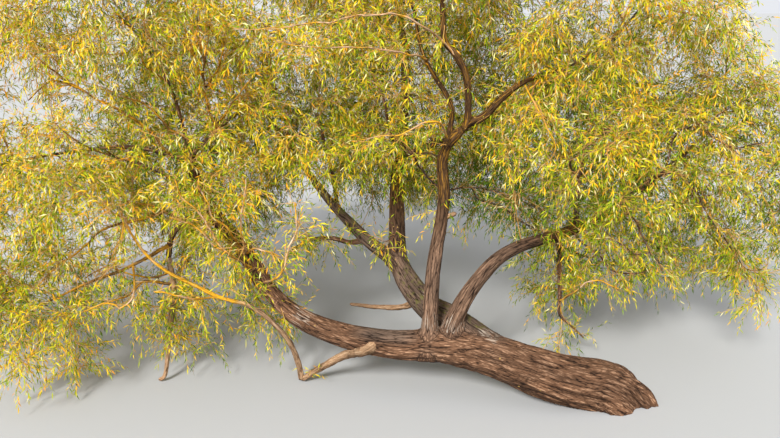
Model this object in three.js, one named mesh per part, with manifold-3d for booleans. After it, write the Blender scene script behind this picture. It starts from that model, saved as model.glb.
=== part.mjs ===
// A weeping willow that leans out low over the ground: a slanting trunk, five boughs that rise
// from it, a broken branch that dips to the ground and climbs again, and a drooping crown.
// Millimetres, +Z up. The origin is the middle of the flat cut under the trunk. The trunk
// leans towards -X, and the crown hangs over the +Y side.
import * as THREE from "three";
import { mergeVertices } from "three/addons/utils/BufferGeometryUtils.js";
import Module from "manifold-3d";

const wasm = await Module();
wasm.setup();

// Driving dimensions
const TRUNK_RADIUS = 262; // half the trunk's thickness midway between the ground and the fork
const FORK = [-1690, 130, 606]; // where the trunk divides, on its centreline
const TRUNK_TAPER = [1.12, 0.78]; // its radius at the foot and at the fork, as shares of TRUNK_RADIUS
const ROOT_LOBES = 5; // ridges of the root flare
const ROOT_SPREAD = 0.42; // how far a ridge stands out at the ground, as a share of the radius
const ROOT_TURN = 0.6; // where round the trunk the first ridge stands, in radians
const FLARE_END = 0.35; // share of the trunk's length that the root flare takes
const FLARE_RISE = 0.28; // share over which the flare comes to its full spread
const NECK = 0.16; // how much the trunk draws in where the left bough follows on
const NECK_START = 0.82; // share of the trunk's length where that begins
const COLLAR = 0.4; // how much a bough swells where it leaves its parent, as a share of its radius
const COLLAR_REACH = 1.6; // how far that swelling lasts, in radii
const FIT_GAP = 0.4; // clearance between solids that touch
const FINE = 3; // subdivision of the ball that a large foliage mass is shaped from
const COARSE = 2; // the same for a small or hidden one
const GROUND_BLOCK = 3000; // side of the block that trims the trunk level with the ground
const LOWEST_LEAF = 20; // height of the hanging foliage's lowest tips
const TRUNK_FACETS = { around: 18, along: 14 };
const TRUNK_PATH = [
  [330, 150, -330],
  [225, 120, -70],
  [30, 70, 120],
  [-444, 20, 278],
  [-877, 45, 432],
  [-1301, 95, 556],
  FORK,
];
const WELD = 1e-3; // corners closer than this are one
const SPECK = 1; // volume below which a cut-off bit counts as none

// Colours and finish
const BARK = new THREE.MeshStandardMaterial({ color: 0x6b4f3a, roughness: 0.95, metalness: 0 });
const PALE_WOOD = new THREE.MeshStandardMaterial({ color: 0x9a7b5c, roughness: 0.85, metalness: 0 });
const LEAVES = new THREE.MeshStandardMaterial({ color: 0xa3a33a, roughness: 0.8, metalness: 0 });

// Limbs, parents first. path: the centreline. thick: the radius at its start and at its end.
// around and along: the facets round a limb and the steps along it. follows: the limb goes on
// from the end of the one before it, so it has no collar.
const LIMBS = [
  {
    name: "left_bough_lower",
    path: [
      FORK,
      [-2260, 200, 600],
      [-2693, 250, 650],
      [-3020, 300, 750],
      [-3260, 310, 880],
      [-3470, 355, 1040],
    ],
    thick: [172, 100],
    around: 12,
    along: 10,
    follows: true,
    material: BARK,
  },
  {
    name: "left_bough_upper",
    path: [
      [-3450, 352, 1022],
      [-3609, 400, 1201],
      [-3716, 450, 1378],
      [-3870, 510, 1610],
      [-4140, 600, 1930],
      [-4330, 680, 2300],
      [-4420, 760, 2760],
    ],
    thick: [100, 46],
    around: 10,
    along: 9,
    follows: true,
    material: BARK,
  },
  {
    name: "back_bough",
    path: [
      [-1160, 110, 560],
      [-1370, 220, 668],
      [-1590, 420, 765],
      [-1800, 610, 815],
      [-2005, 900, 945],
      [-2190, 1170, 1200],
    ],
    thick: [185, 112],
    around: 12,
    along: 7,
    follows: true,
    material: BARK,
  },
  {
    name: "back_upright_bough",
    path: [
      [-2170, 1150, 1120],
      [-2180, 1290, 1522],
      [-2177, 1400, 1987],
      [-2140, 1560, 2500],
      [-2060, 1700, 3050],
    ],
    thick: [98, 58],
    around: 8,
    along: 7,
    material: BARK,
  },
  {
    name: "back_left_bough",
    path: [
      [-2200, 1170, 1190],
      [-2500, 1350, 1345],
      [-2686, 1500, 1479],
      [-3068, 1800, 1811],
      [-3400, 2050, 2200],
    ],
    thick: [78, 40],
    around: 8,
    along: 6,
    material: BARK,
  },
  {
    name: "back_left_side_branch",
    path: [
      [-2540, 1380, 1370],
      [-2744, 1400, 1330],
      [-2984, 1400, 1386],
      [-3263, 1400, 1347],
      [-3442, 1350, 1250],
    ],
    thick: [34, 14],
    around: 6,
    along: 6,
    material: BARK,
  },
  {
    name: "dead_side_branch",
    path: [
      [-1930, 800, 860],
      [-2080, 840, 745],
      [-2400, 860, 725],
      [-2727, 900, 746],
    ],
    thick: [40, 18],
    around: 6,
    along: 6,
    material: PALE_WOOD,
  },
  {
    name: "middle_bough",
    path: [
      [-1850, 130, 560],
      [-1827, 200, 1116],
      [-1796, 300, 1473],
      [-1692, 500, 2138],
      [-1710, 600, 2545],
      [-1650, 600, 2740],
    ],
    thick: [84, 56],
    around: 10,
    along: 11,
    material: BARK,
  },
  {
    name: "middle_right_limb",
    path: [
      [-1672, 600, 2700],
      [-1445, 600, 2915],
      [-1290, 600, 3000],
      [-1130, 600, 3170],
      [-880, 720, 3330],
      [-400, 1000, 3420],
    ],
    thick: [54, 18],
    around: 8,
    along: 9,
    material: BARK,
  },
  {
    name: "middle_left_limb",
    path: [
      [-1480, 600, 2880],
      [-1462, 600, 3010],
      [-1493, 600, 3402],
      [-1600, 600, 3600],
      [-1710, 600, 3740],
      [-1740, 600, 4020],
      [-1780, 680, 4600],
    ],
    thick: [40, 24],
    around: 8,
    along: 8,
    material: BARK,
  },
  {
    name: "middle_back_limb",
    path: [
      [-1638, 610, 2800],
      [-1634, 620, 2869],
      [-1619, 660, 3039],
      [-1681, 720, 3205],
      [-1793, 800, 3370],
      [-1930, 930, 3640],
      [-2020, 1050, 4100],
    ],
    thick: [36, 16],
    around: 6,
    along: 6,
    material: BARK,
  },
  {
    name: "right_bough",
    path: [
      [-1560, 150, 580],
      [-1605, 160, 780],
      [-1510, 200, 1040],
      [-1345, 300, 1272],
      [-1128, 400, 1488],
      [-880, 500, 1605],
      [-570, 620, 1658],
      [-240, 780, 1695],
      [200, 960, 1830],
    ],
    thick: [92, 48],
    around: 10,
    along: 12,
    material: BARK,
  },
  {
    name: "hanging_limb_upper",
    path: [
      [-320, 950, 1400],
      [-285, 1000, 1100],
      [-260, 1000, 800],
    ],
    thick: [32, 22],
    around: 6,
    along: 6,
    material: BARK,
  },
  {
    name: "hanging_limb_lower",
    path: [
      [-260, 1000, 815],
      [-240, 1000, 560],
      [-110, 1000, 430],
      [73, 1000, 250],
    ],
    thick: [23, 9],
    around: 6,
    along: 6,
    follows: true,
    material: BARK,
  },
  {
    name: "broken_branch_falling",
    path: [
      [-2330, 130, 600],
      [-2440, 95, 610],
      [-2693, 200, 490],
      [-2984, 350, 250],
      [-3255, 425, 34],
    ],
    thick: [58, 30],
    around: 8,
    along: 7,
    material: PALE_WOOD,
  },
  {
    name: "broken_branch_rising",
    path: [
      [-3262, 428, 40],
      [-3291, 400, 266],
      [-3382, 350, 567],
      [-3610, 300, 882],
      [-3815, 270, 1047],
    ],
    thick: [33, 23],
    around: 8,
    along: 8,
    follows: true,
    material: PALE_WOOD,
  },
  {
    name: "broken_branch_arching",
    path: [
      [-3800, 272, 1037],
      [-4056, 230, 1130],
      [-4281, 215, 1258],
      [-4584, 215, 1430],
      [-4777, 230, 1600],
      [-4930, 270, 1820],
      [-5040, 330, 2060],
    ],
    thick: [23, 10],
    around: 6,
    along: 10,
    follows: true,
    material: PALE_WOOD,
  },
  {
    name: "left_dipping_stem",
    path: [
      [-4700, 560, 800],
      [-4740, 500, 560],
      [-4770, 450, 264],
      [-4820, 425, 60],
      [-4880, 425, 26],
    ],
    thick: [38, 20],
    around: 6,
    along: 6,
    material: PALE_WOOD,
  },
];

// Foliage masses. reach: how far each goes along X, along Y, up and down from its middle.
// ragged: how uneven the hanging lower edge is. detail: the subdivision of its ball.
const MASSES = [
  {
    name: "crown_left_front_low",
    middle: [-5900, 350, 1060],
    reach: [1080, 640, 760, 860],
    ragged: 0.3,
    detail: COARSE,
  },
  {
    name: "crown_left_inner_low",
    middle: [-4380, 780, 870],
    reach: [850, 420, 640, 600],
    ragged: 0.3,
    detail: COARSE,
  },
  {
    name: "crown_left_end",
    middle: [-7000, 1150, 1800],
    reach: [950, 1150, 1200, 1500],
    ragged: 0.25,
    detail: FINE,
  },
  {
    name: "crown_left_middle",
    middle: [-5000, 850, 2430],
    reach: [1440, 1000, 860, 860],
    ragged: 0.3,
    detail: FINE,
  },
  {
    name: "crown_left_top",
    middle: [-5250, 1250, 4050],
    reach: [1700, 1400, 1150, 900],
    ragged: 0.2,
    detail: FINE,
  },
  {
    name: "crown_inner_left",
    middle: [-3300, 1350, 3000],
    reach: [900, 950, 1000, 1050],
    ragged: 0.3,
    detail: COARSE,
  },
  {
    name: "crown_inner_middle",
    middle: [-2350, 1130, 3000],
    reach: [560, 340, 820, 880],
    ragged: 0.3,
    detail: COARSE,
  },
  {
    name: "crown_middle_top",
    middle: [-2150, 1400, 5150],
    reach: [1650, 1500, 1250, 1050],
    ragged: 0.2,
    detail: COARSE,
  },
  {
    name: "crown_middle_back",
    middle: [-1750, 2550, 2900],
    reach: [1300, 1050, 1050, 1350],
    ragged: 0.3,
    detail: COARSE,
  },
  {
    name: "crown_right_inner",
    middle: [-150, 860, 2450],
    reach: [1120, 900, 1260, 1200],
    ragged: 0.25,
    detail: COARSE,
  },
  {
    name: "crown_right_top",
    middle: [-50, 1450, 4050],
    reach: [1400, 1350, 1050, 850],
    ragged: 0.2,
    detail: FINE,
  },
  {
    name: "crown_right_end",
    middle: [1500, 1450, 2300],
    reach: [1100, 1150, 1250, 1480],
    ragged: 0.3,
    detail: FINE,
  },
  {
    name: "crown_right_low",
    middle: [-30, 1420, 1040],
    reach: [800, 370, 760, 680],
    ragged: 0.35,
    detail: COARSE,
  },
  {
    name: "crown_back_left",
    middle: [-4700, 3000, 2500],
    reach: [1500, 1150, 1500, 1550],
    ragged: 0.25,
    detail: COARSE,
  },
  {
    name: "crown_back_right",
    middle: [550, 3350, 2450],
    reach: [1300, 1050, 1400, 1500],
    ragged: 0.25,
    detail: COARSE,
  },
  {
    name: "crown_back_middle",
    middle: [-2050, 4350, 2500],
    reach: [1550, 950, 1450, 1600],
    ragged: 0.25,
    detail: COARSE,
  },
  {
    name: "crown_back_top",
    middle: [-2250, 3100, 4350],
    reach: [1800, 1350, 1050, 950],
    ragged: 0.2,
    detail: COARSE,
  },
  {
    name: "crown_inner_right",
    middle: [-1050, 1850, 2150],
    reach: [620, 480, 620, 480],
    ragged: 0.3,
    detail: COARSE,
  },
];
const LUMPS = [
  { waves: 4.2, height: 0.09 },
  { waves: 7.4, height: 0.07 },
  { waves: 12.6, height: 0.045 },
];
const RAGS_ROUND = 5; // hanging tongues round the lower edge of a mass

// The minimal standard generator of repeatable random numbers
const RANDOM_FACTOR = 48271;
const RANDOM_RANGE = 2147483647;
const SEED_SPREAD = 19088743; // sets the first numbers of neighbouring seeds apart

function randomSource(seed) {
  let state = (seed * SEED_SPREAD) % RANDOM_RANGE;
  return () => {
    state = (state * RANDOM_FACTOR) % RANDOM_RANGE;
    return state / RANDOM_RANGE;
  };
}

function randomDirection(random) {
  return new THREE.Vector3(random() - 0.5, random() - 0.5, random() - 0.5).normalize();
}

// The geometry with its shared corners merged, and every corner moved out by grow
function welded(geometry, grow = 0) {
  const bare = geometry.clone();
  for (const attribute of ["normal", "uv"]) bare.deleteAttribute(attribute);
  const merged = mergeVertices(bare, WELD);
  if (!grow) return merged;
  merged.computeVertexNormals();
  const place = merged.attributes.position;
  const out = merged.attributes.normal;
  for (let i = 0; i < place.count; i += 1) {
    place.setXYZ(
      i,
      place.getX(i) + grow * out.getX(i),
      place.getY(i) + grow * out.getY(i),
      place.getZ(i) + grow * out.getZ(i),
    );
  }
  return merged;
}

function solidOf(geometry, grow = 0) {
  const merged = welded(geometry, grow);
  return new wasm.Manifold(
    new wasm.Mesh({
      numProp: 3,
      vertProperties: merged.attributes.position.array,
      triVerts: new Uint32Array(merged.index.array),
    }),
  );
}

function geometryOf(solid) {
  const cut = solid.getMesh();
  const geometry = new THREE.BufferGeometry();
  geometry.setAttribute("position", new THREE.BufferAttribute(cut.vertProperties, 3));
  geometry.setIndex(new THREE.BufferAttribute(cut.triVerts, 1));
  geometry.computeVertexNormals();
  return geometry;
}

// A closed cylinder bent along a curve. radius(share, angle) is its half thickness there.
function sweptLimb(path, around, along, radius) {
  const points = path.map((p) => new THREE.Vector3(...p));
  const curve = new THREE.CatmullRomCurve3(points, false, "centripetal");
  const { normals, binormals } = curve.computeFrenetFrames(along, false);
  const geometry = new THREE.CylinderGeometry(1, 1, 1, around, along);
  const place = geometry.attributes.position;
  for (let i = 0; i < place.count; i += 1) {
    const share = THREE.MathUtils.clamp(0.5 - place.getY(i), 0, 1);
    const step = Math.round(share * along);
    const [x, z] = [place.getX(i), place.getZ(i)];
    const angle = Math.atan2(z, x);
    const size = Math.hypot(x, z) * radius(share, angle);
    const at = curve
      .getPointAt(share)
      .addScaledVector(normals[step], size * Math.cos(angle))
      .addScaledVector(binormals[step], size * Math.sin(angle));
    place.setXYZ(i, at.x, at.y, at.z);
  }
  return geometry;
}

function limbGeometry({ path, thick, around, along, follows }) {
  const length = new THREE.CatmullRomCurve3(path.map((p) => new THREE.Vector3(...p))).getLength();
  return sweptLimb(path, around, along, (share) => {
    const swell = follows ? 0 : COLLAR * Math.exp((-share * length) / (COLLAR_REACH * thick[0]));
    return THREE.MathUtils.lerp(thick[0], thick[1], share) * (1 + swell);
  });
}

// The trunk starts under the ground, steeper than it goes on, and is cut level with it
function trunkGeometry() {
  return sweptLimb(TRUNK_PATH, TRUNK_FACETS.around, TRUNK_FACETS.along, (share, angle) => {
    const atGround = THREE.MathUtils.smoothstep(FLARE_END - share, 0, FLARE_RISE);
    const ridge = 0.5 + 0.5 * Math.cos(ROOT_LOBES * angle + ROOT_TURN);
    const taper = THREE.MathUtils.lerp(TRUNK_TAPER[0], TRUNK_TAPER[1], share);
    const narrows = 1 - NECK * THREE.MathUtils.smoothstep(share, NECK_START, 1);
    return TRUNK_RADIUS * taper * narrows * (1 + ROOT_SPREAD * atGround * ridge);
  });
}

// A ball pulled out to the mass's reach, lumpy all over and ragged along its lower edge
function massGeometry({ middle, reach, ragged, detail }, seed) {
  const random = randomSource(seed);
  const waves = LUMPS.map(({ waves: count, height }) => ({
    height,
    along: randomDirection(random).multiplyScalar(count),
    across: randomDirection(random).multiplyScalar(count),
    start: random() * 2 * Math.PI,
  }));
  const turn = random() * 2 * Math.PI;
  const geometry = welded(new THREE.IcosahedronGeometry(1, detail));
  const place = geometry.attributes.position;
  const toward = new THREE.Vector3();
  for (let i = 0; i < place.count; i += 1) {
    toward.fromBufferAttribute(place, i).normalize();
    let lump = 1;
    for (const { height, along, across, start } of waves) {
      lump += height * (Math.sin(start + toward.dot(along)) + Math.sin(toward.dot(across)));
    }
    const low = Math.max(0, -toward.z);
    const tongue = 1 + ragged * low * Math.sin(RAGS_ROUND * Math.atan2(toward.y, toward.x) + turn);
    const vertical = toward.z > 0 ? reach[2] : reach[3] * tongue;
    place.setXYZ(
      i,
      middle[0] + reach[0] * lump * toward.x,
      middle[1] + reach[1] * lump * toward.y,
      Math.max(LOWEST_LEAF, middle[2] + vertical * lump * toward.z),
    );
  }
  return geometry;
}

// The part of a cut solid that holds the most material
function largestPiece(solid) {
  return solid.decompose().reduce((best, piece) => (piece.volume() > best.volume() ? piece : best));
}

// The part of a cut limb that still holds the start of its path
function rootedPiece(solid, start) {
  const away = (piece) => {
    const { min, max } = piece.boundingBox();
    return Math.hypot(...start.map((v, i) => Math.max(min[i] - v, 0, v - max[i])));
  };
  const pieces = solid.decompose().filter((piece) => piece.volume() > SPECK);
  return pieces.reduce((best, piece) => (away(piece) < away(best) ? piece : best));
}

function namedMesh(name, solid, material) {
  const mesh = new THREE.Mesh(geometryOf(solid), material);
  mesh.name = name;
  return mesh;
}

function buildMasses() {
  const cutters = [];
  return MASSES.map((mass, i) => {
    const geometry = massGeometry(mass, i + 1);
    let solid = solidOf(geometry);
    for (const cutter of cutters) solid = solid.subtract(cutter);
    cutters.push(solidOf(geometry, FIT_GAP));
    return { name: mass.name, solid: largestPiece(solid), cutter: cutters[i] };
  });
}

function buildTree() {
  const tree = new THREE.Group();
  const masses = buildMasses();

  const ground = new THREE.BoxGeometry(GROUND_BLOCK, GROUND_BLOCK, GROUND_BLOCK);
  ground.translate(0, 0, -GROUND_BLOCK / 2);
  const trunk = trunkGeometry();
  tree.add(namedMesh("trunk", solidOf(trunk).subtract(solidOf(ground)), BARK));

  const cutters = [solidOf(trunk, FIT_GAP), ...masses.map((mass) => mass.cutter)];
  for (const limb of LIMBS) {
    const geometry = limbGeometry(limb);
    let solid = solidOf(geometry);
    for (const cutter of cutters) solid = solid.subtract(cutter);
    tree.add(namedMesh(limb.name, rootedPiece(solid, limb.path[0]), limb.material));
    cutters.push(solidOf(geometry, FIT_GAP));
  }
  for (const { name, solid } of masses) tree.add(namedMesh(name, solid, LEAVES));
  return tree;
}

export default buildTree();
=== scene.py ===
import math
from collections import namedtuple

import bmesh
import bpy
import numpy as np
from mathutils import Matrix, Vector, noise
from mathutils.bvhtree import BVHTree
from mathutils.kdtree import KDTree


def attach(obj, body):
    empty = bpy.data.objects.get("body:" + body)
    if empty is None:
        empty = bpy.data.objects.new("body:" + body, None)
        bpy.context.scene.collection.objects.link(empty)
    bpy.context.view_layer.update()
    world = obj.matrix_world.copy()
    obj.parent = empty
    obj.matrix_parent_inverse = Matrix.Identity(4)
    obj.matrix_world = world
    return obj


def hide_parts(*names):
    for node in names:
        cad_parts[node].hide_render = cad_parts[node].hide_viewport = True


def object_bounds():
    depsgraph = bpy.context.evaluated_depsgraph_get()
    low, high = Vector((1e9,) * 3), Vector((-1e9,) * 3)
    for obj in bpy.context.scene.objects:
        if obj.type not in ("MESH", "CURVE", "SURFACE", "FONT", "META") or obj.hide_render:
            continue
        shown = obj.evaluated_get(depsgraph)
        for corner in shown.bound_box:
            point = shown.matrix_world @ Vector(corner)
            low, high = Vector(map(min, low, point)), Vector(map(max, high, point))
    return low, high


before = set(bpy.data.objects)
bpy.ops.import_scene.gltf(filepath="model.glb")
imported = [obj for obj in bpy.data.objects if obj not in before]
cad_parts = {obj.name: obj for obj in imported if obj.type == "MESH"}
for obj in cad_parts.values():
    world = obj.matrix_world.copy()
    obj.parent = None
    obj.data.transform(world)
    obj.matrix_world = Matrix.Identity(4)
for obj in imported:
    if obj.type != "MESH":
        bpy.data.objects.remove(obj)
cad_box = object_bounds()

SEED = 11
rng = np.random.default_rng(SEED)
noise.seed_set(SEED)
TINY = 1e-9
UP = np.array([0, 0, 1.0])
DOWN = np.array([0, 0, -1.0])

# Camera: it stands above the tree's foot and looks down on it
CAMERA_PLACE = (-2.26, -6.57, 4.2)
CAMERA_TILT = math.radians(17.9)
PICTURE_WIDTH = 780
FOCAL_LENGTH = 700  # in the picture's pixels
SENSOR = 36.0  # millimetres

# Trunk
TRUNK_RADIUS = 0.262
TRUNK_TAPER = (1.12, 0.78)  # of that radius, at its foot and at the fork
FORK_NARROWS = 0.16
FORK_FROM = 0.82  # the share of the trunk from which it narrows more
FORK = (-1.69, 0.13, 0.606)
TRUNK_PATH = [
    (0.33, 0.15, -0.33), (0.225, 0.12, -0.07), (0.03, 0.07, 0.12), (-0.444, 0.02, 0.278),
    (-0.877, 0.045, 0.432), (-1.301, 0.095, 0.556), FORK,
]
ROOT_LOBES = 5
ROOT_SPREAD = 0.42
LOBE_TURN = 0.6  # of the lobes round the trunk
ROOTS_END = 0.35  # share of the trunk
ROOTS_FADE = 0.28
COLLAR = (0.62, 1.15)  # how much a bough swells at its start, and how far that lasts, in its radii
WIDE_FOOT = (0.95, 2.3)  # the same for the boughs that stand on the trunk

# Sampling of the centrelines
STEP_ALONG = 0.02
CLOSEST = 0.4  # of that step, where one limb follows another
FEWEST_SAMPLES = 8
ROUGH_SAMPLES = 60  # for a path's length
CURVE_STEPS = 40  # between two points of a path

# Bark mesh
BARK_VOXEL = 0.0135
TRUNK_SIDES = 96
LIMB_SIDES = 48
SMOOTHING_ROUNDS = 5
JOINT_ROUNDS = 70  # extra smoothing where a bough leaves its parent
JOINT_REACH = (1.1, 2.7)  # how far that is full, and how far it goes, in radii of the bough
BARK_REACH = 0.1  # how far from a limb's surface its bark still counts
REACH_OF_STOUT = 0.6  # the same in radii, where that is more
BARK_BLEND = 0.018
PLACE_CORE = 0.3  # share of a marked place's reach within which it is full
WEATHERED_GREY = 0.9
TOP_SIDE = (0.2, 0.8)  # how far up the surface faces there
# Sizes on the bark are lengths across and along the limb
PLATE_SIZE = (0.04, 0.6)
PLATE_BEND = 0.35
PLATE_BENDS = 0.45  # in a plate's size
FURROW_WIDTH = 0.24  # of a plate's size
PLATE_HEIGHT = 0.009  # of those on the stoutest limbs, on top of the least height
LEAST_HEIGHT = 0.002
PLATES_RISE = (0.02, 0.2)  # the limb's radii between which they grow
GROOVE_SIZE = (0.12, 0.12, 1.3)
GROOVE_DEPTH = 0.07  # of the limb's radius
SWELL_SIZE = (0.18, 0.18, 0.5)
SWELL_HEIGHT = 0.085  # of the limb's radius
STOUTEST = 0.24  # the radius from which neither grows any more
THIN_PLATE_SIZE = (0.02, 0.2)
THIN_PLATE_HEIGHT = 0.12  # of the limb's radius
THIN_TIP = 0.55  # of the radius there
THIN_MOSS = 0.1
OLD_PATCH_SIZE = (0.4, 0.4, 0.16)
OLD_PATCH_EDGE = (-0.12, 0.16)
LINES_APART = (3.1, 1.7)  # across the unrolled bark, so that each limb has bark of its own
LIMBS_APART = 2.0  # the same for thin limbs
KNOT_HEIGHT = 0.12  # of a thin limb's radius
SHORT_KNOT = 0.6  # of that height
KNOT_LENGTHS = (0.09, 0.03)
LIES_AT = 0.002  # the lowest height of a limb that lies on the ground

# Growth
SKIN_VOXEL = 0.07
POLE = 0.12  # radians from a loose spray's poles to its first and last ring
SKIN_OVERLAP = 0.02  # the masses swell by this much, so that neighbours grow into one skin
TARGETS_PER_M3 = 80
CORE_DEPTH = 0.5  # targets deeper than this inside the crown are thinned
CORE_SHARE = 0.3
EDGE_WAVE = 0.3  # how far the twigs' outline swings in and out round the masses
EDGE_LUMPS = 1.25  # lumps of that outline in a metre
TARGETS_OUTSIDE = 0.11  # how far a target may lie outside the crown
GROWTH_STEP = 0.11
GROWTH_KILL = 0.18
GROWTH_ROUNDS = 170
KEEPS_WAY = 0.35
WANDERS = 0.12
SIBLINGS_APART = 0.4  # of a step
TIP_RADIUS = 0.0034
PIPE_POWER = 2.2
SIDE_BRANCH = 0.8  # of its limb's radius, at most
ROUND_END = 0.2  # of its radius, behind a twig's start
THICK_TWIG = 0.009  # from this radius on a run of branches is joined with the stout ones
SPROUTS_EVERY = 3  # nodes of a limb
SPROUTS_OUTSIDE = 0.05  # how far outside the crown they still sprout

# Shoots
CROWN_SHOOTS = 25841
SHOOT_LENGTH = (0.2, 0.56)
LONG_SHOOTS_RARE = 1.3  # power on the random share of that range
LIMB_SHOOT_LENGTH = (0.1, 0.34)
SHOOT_STEP = 0.055
SHOOT_WIDTH = 0.007
SHOOT_TAPER = 0.35
BENT_FROM = 6  # steps of a shoot from which its strip has a knot in the middle
SHOOT_ALONG = 0.45  # how much a shoot's way owes to its twig, to chance and to the light above
SHOOT_ASIDE = 0.95
SHOOT_UP = 0.1
SHOOT_DROOP = (0.03, 0.2)
DROOP_START = 0.6
DROOP_GROWS = 0.15  # with each step
SHOOT_WANDERS = 0.09
SHOOTS_ON = 0.008  # the radius up to which a branch has shoots
SHOOTS_INSIDE = (0.12, 0.75)  # depths between which the shoots grow rare
FEWEST_INSIDE = 0.12
MORE_ON_RIGHT = 0.35
RIGHT_SIDE = (0.6, 1.6)
JUST_INSIDE = 0.9  # of a limb's radius, where the shoots on it start
OVERHANG = 0.26  # how far a shoot may leave the crown

# Leaves
LEAF_SPACING = 0.024
LEAF_LENGTH = (0.052, 0.096)
LEAF_WIDTH = 0.15  # as a share of its length
FIRST_LEAF = 0.12  # its place as a share of the shoot
LEAF_TURN = math.radians(137.5)  # from each leaf to the next, round the shoot
FULL_TURN = 6.28
CROSSWISE = np.array([0.31, 0.87, 0.38])  # a way that next to no shoot takes
LEAF_SPREAD = (0.4, 1.3)
TIP_SPREAD = 0.1
LEAF_DROOP = 0.8
LEAF_FACES = (0, -0.25, 1.0)
LEAF_TILTS = 0.75
LEAF_CURL = (-0.02, 0.11)  # of its length
WIDEST = ((0.3, 0.44), (0.42, 0.56))  # where its two side corners lie, as shares of its length
ROOM = 0.02  # how far leaves may pass the solids' box, as a share of its side
CLEAR_OF_GROUND = 0.012
PIECE_TRIANGLES = 196000

# path: its points, thick: its radius at both ends, follows: it goes on from another limb
Limb = namedtuple("Limb", "name thick path follows look collar")


def limb(name, thick, *path, follows=False, look="bark", collar=COLLAR):
    return Limb(name, thick, path, follows, look, collar)


# The limbs that are solids too, nearly all with the solids' centrelines and radii
LIMBS = [
    limb("left_bough_lower", (0.172, 0.1), FORK, (-2.26, 0.2, 0.6), (-2.693, 0.25, 0.65),
        (-3.02, 0.3, 0.75), (-3.26, 0.31, 0.88), (-3.47, 0.355, 1.04), follows=True),
    limb("left_bough_upper", (0.1, 0.046), (-3.45, 0.352, 1.022), (-3.609, 0.4, 1.201),
        (-3.716, 0.45, 1.378), (-3.87, 0.51, 1.61), (-4.14, 0.6, 1.93), (-4.33, 0.68, 2.3),
        (-4.42, 0.76, 2.76), follows=True),
    limb("back_bough", (0.185, 0.112), (-1.16, 0.11, 0.56), (-1.37, 0.22, 0.668), (-1.59, 0.42, 0.765),
        (-1.8, 0.61, 0.815), (-2.005, 0.9, 0.945), (-2.19, 1.17, 1.2), follows=True),
    limb("back_upright_bough", (0.098, 0.058), (-2.17, 1.15, 1.12), (-2.18, 1.29, 1.522),
        (-2.177, 1.4, 1.987), (-2.14, 1.56, 2.5), (-2.06, 1.7, 3.05)),
    limb("back_left_bough", (0.078, 0.04), (-2.2, 1.17, 1.19), (-2.5, 1.35, 1.345), (-2.686, 1.5, 1.479),
        (-3.068, 1.8, 1.811), (-3.4, 2.05, 2.2)),
    limb("back_left_side_branch", (0.034, 0.014), (-2.54, 1.38, 1.37), (-2.744, 1.4, 1.33),
        (-2.984, 1.4, 1.386), (-3.263, 1.4, 1.347), (-3.442, 1.35, 1.25)),
    limb("dead_side_branch", (0.04, 0.018), (-1.93, 0.8, 0.86), (-2.08, 0.84, 0.745), (-2.4, 0.86, 0.725),
        (-2.727, 0.9, 0.746), look="pale"),
    limb("middle_bough", (0.084, 0.056), (-1.85, 0.13, 0.56), (-1.827, 0.2, 1.116), (-1.796, 0.3, 1.473),
        (-1.692, 0.5, 2.138), (-1.71, 0.6, 2.545), (-1.65, 0.6, 2.74), collar=WIDE_FOOT),
    limb("middle_right_limb", (0.054, 0.018), (-1.672, 0.6, 2.7), (-1.445, 0.6, 2.915), (-1.29, 0.6, 3.0),
        (-1.13, 0.6, 3.17), (-0.88, 0.72, 3.33), (-0.4, 1.0, 3.42)),
    limb("middle_left_limb", (0.04, 0.024), (-1.48, 0.6, 2.88), (-1.462, 0.6, 3.01), (-1.493, 0.6, 3.402),
        (-1.6, 0.6, 3.6), (-1.71, 0.6, 3.74), (-1.74, 0.6, 4.02), (-1.78, 0.68, 4.6)),
    limb("middle_back_limb", (0.036, 0.016), (-1.678, 0.6, 2.72), (-1.638, 0.62, 2.869),
        (-1.619, 0.66, 3.039), (-1.681, 0.72, 3.205), (-1.793, 0.8, 3.37), (-1.93, 0.93, 3.64),
        (-2.02, 1.05, 4.1)),
    limb("right_bough", (0.092, 0.048), (-1.56, 0.15, 0.58), (-1.605, 0.16, 0.78), (-1.51, 0.2, 1.04),
        (-1.345, 0.3, 1.272), (-1.128, 0.4, 1.488), (-0.88, 0.5, 1.605), (-0.57, 0.62, 1.658),
        (-0.24, 0.78, 1.695), (0.2, 0.96, 1.83), collar=WIDE_FOOT),
    limb("hanging_limb_upper", (0.032, 0.022), (-0.48, 0.655, 1.668), (-0.4, 0.82, 1.605),
        (-0.32, 0.95, 1.4), (-0.285, 1.0, 1.1), (-0.26, 1.0, 0.8)),
    limb("hanging_limb_lower", (0.023, 0.009), (-0.26, 1.0, 0.815), (-0.24, 1.0, 0.56), (-0.11, 1.0, 0.43),
        (0.073, 1.0, 0.25), follows=True),
    limb("broken_branch_falling", (0.058, 0.03), (-2.42, 0.16, 0.62), (-2.52, 0.08, 0.585),
        (-2.72, 0.2, 0.475), (-2.984, 0.35, 0.25), (-3.255, 0.425, 0.034), look="pale"),
    limb("broken_branch_rising", (0.033, 0.023), (-3.262, 0.428, 0.04), (-3.291, 0.4, 0.266),
        (-3.382, 0.35, 0.567), (-3.61, 0.3, 0.882), (-3.815, 0.27, 1.047), follows=True, look="pale"),
    limb("broken_branch_arching", (0.023, 0.01), (-3.8, 0.272, 1.037), (-4.056, 0.23, 1.13),
        (-4.281, 0.215, 1.258), (-4.584, 0.215, 1.43), (-4.777, 0.23, 1.6), (-4.93, 0.27, 1.82),
        (-5.04, 0.33, 2.06), follows=True, look="ochre"),
    limb("left_dipping_stem", (0.034, 0.02), (-4.7, 0.56, 0.8), (-4.74, 0.5, 0.56), (-4.77, 0.45, 0.264),
        (-4.82, 0.425, 0.06), (-4.88, 0.425, 0.026), follows=True, look="pale"),
]

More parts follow.
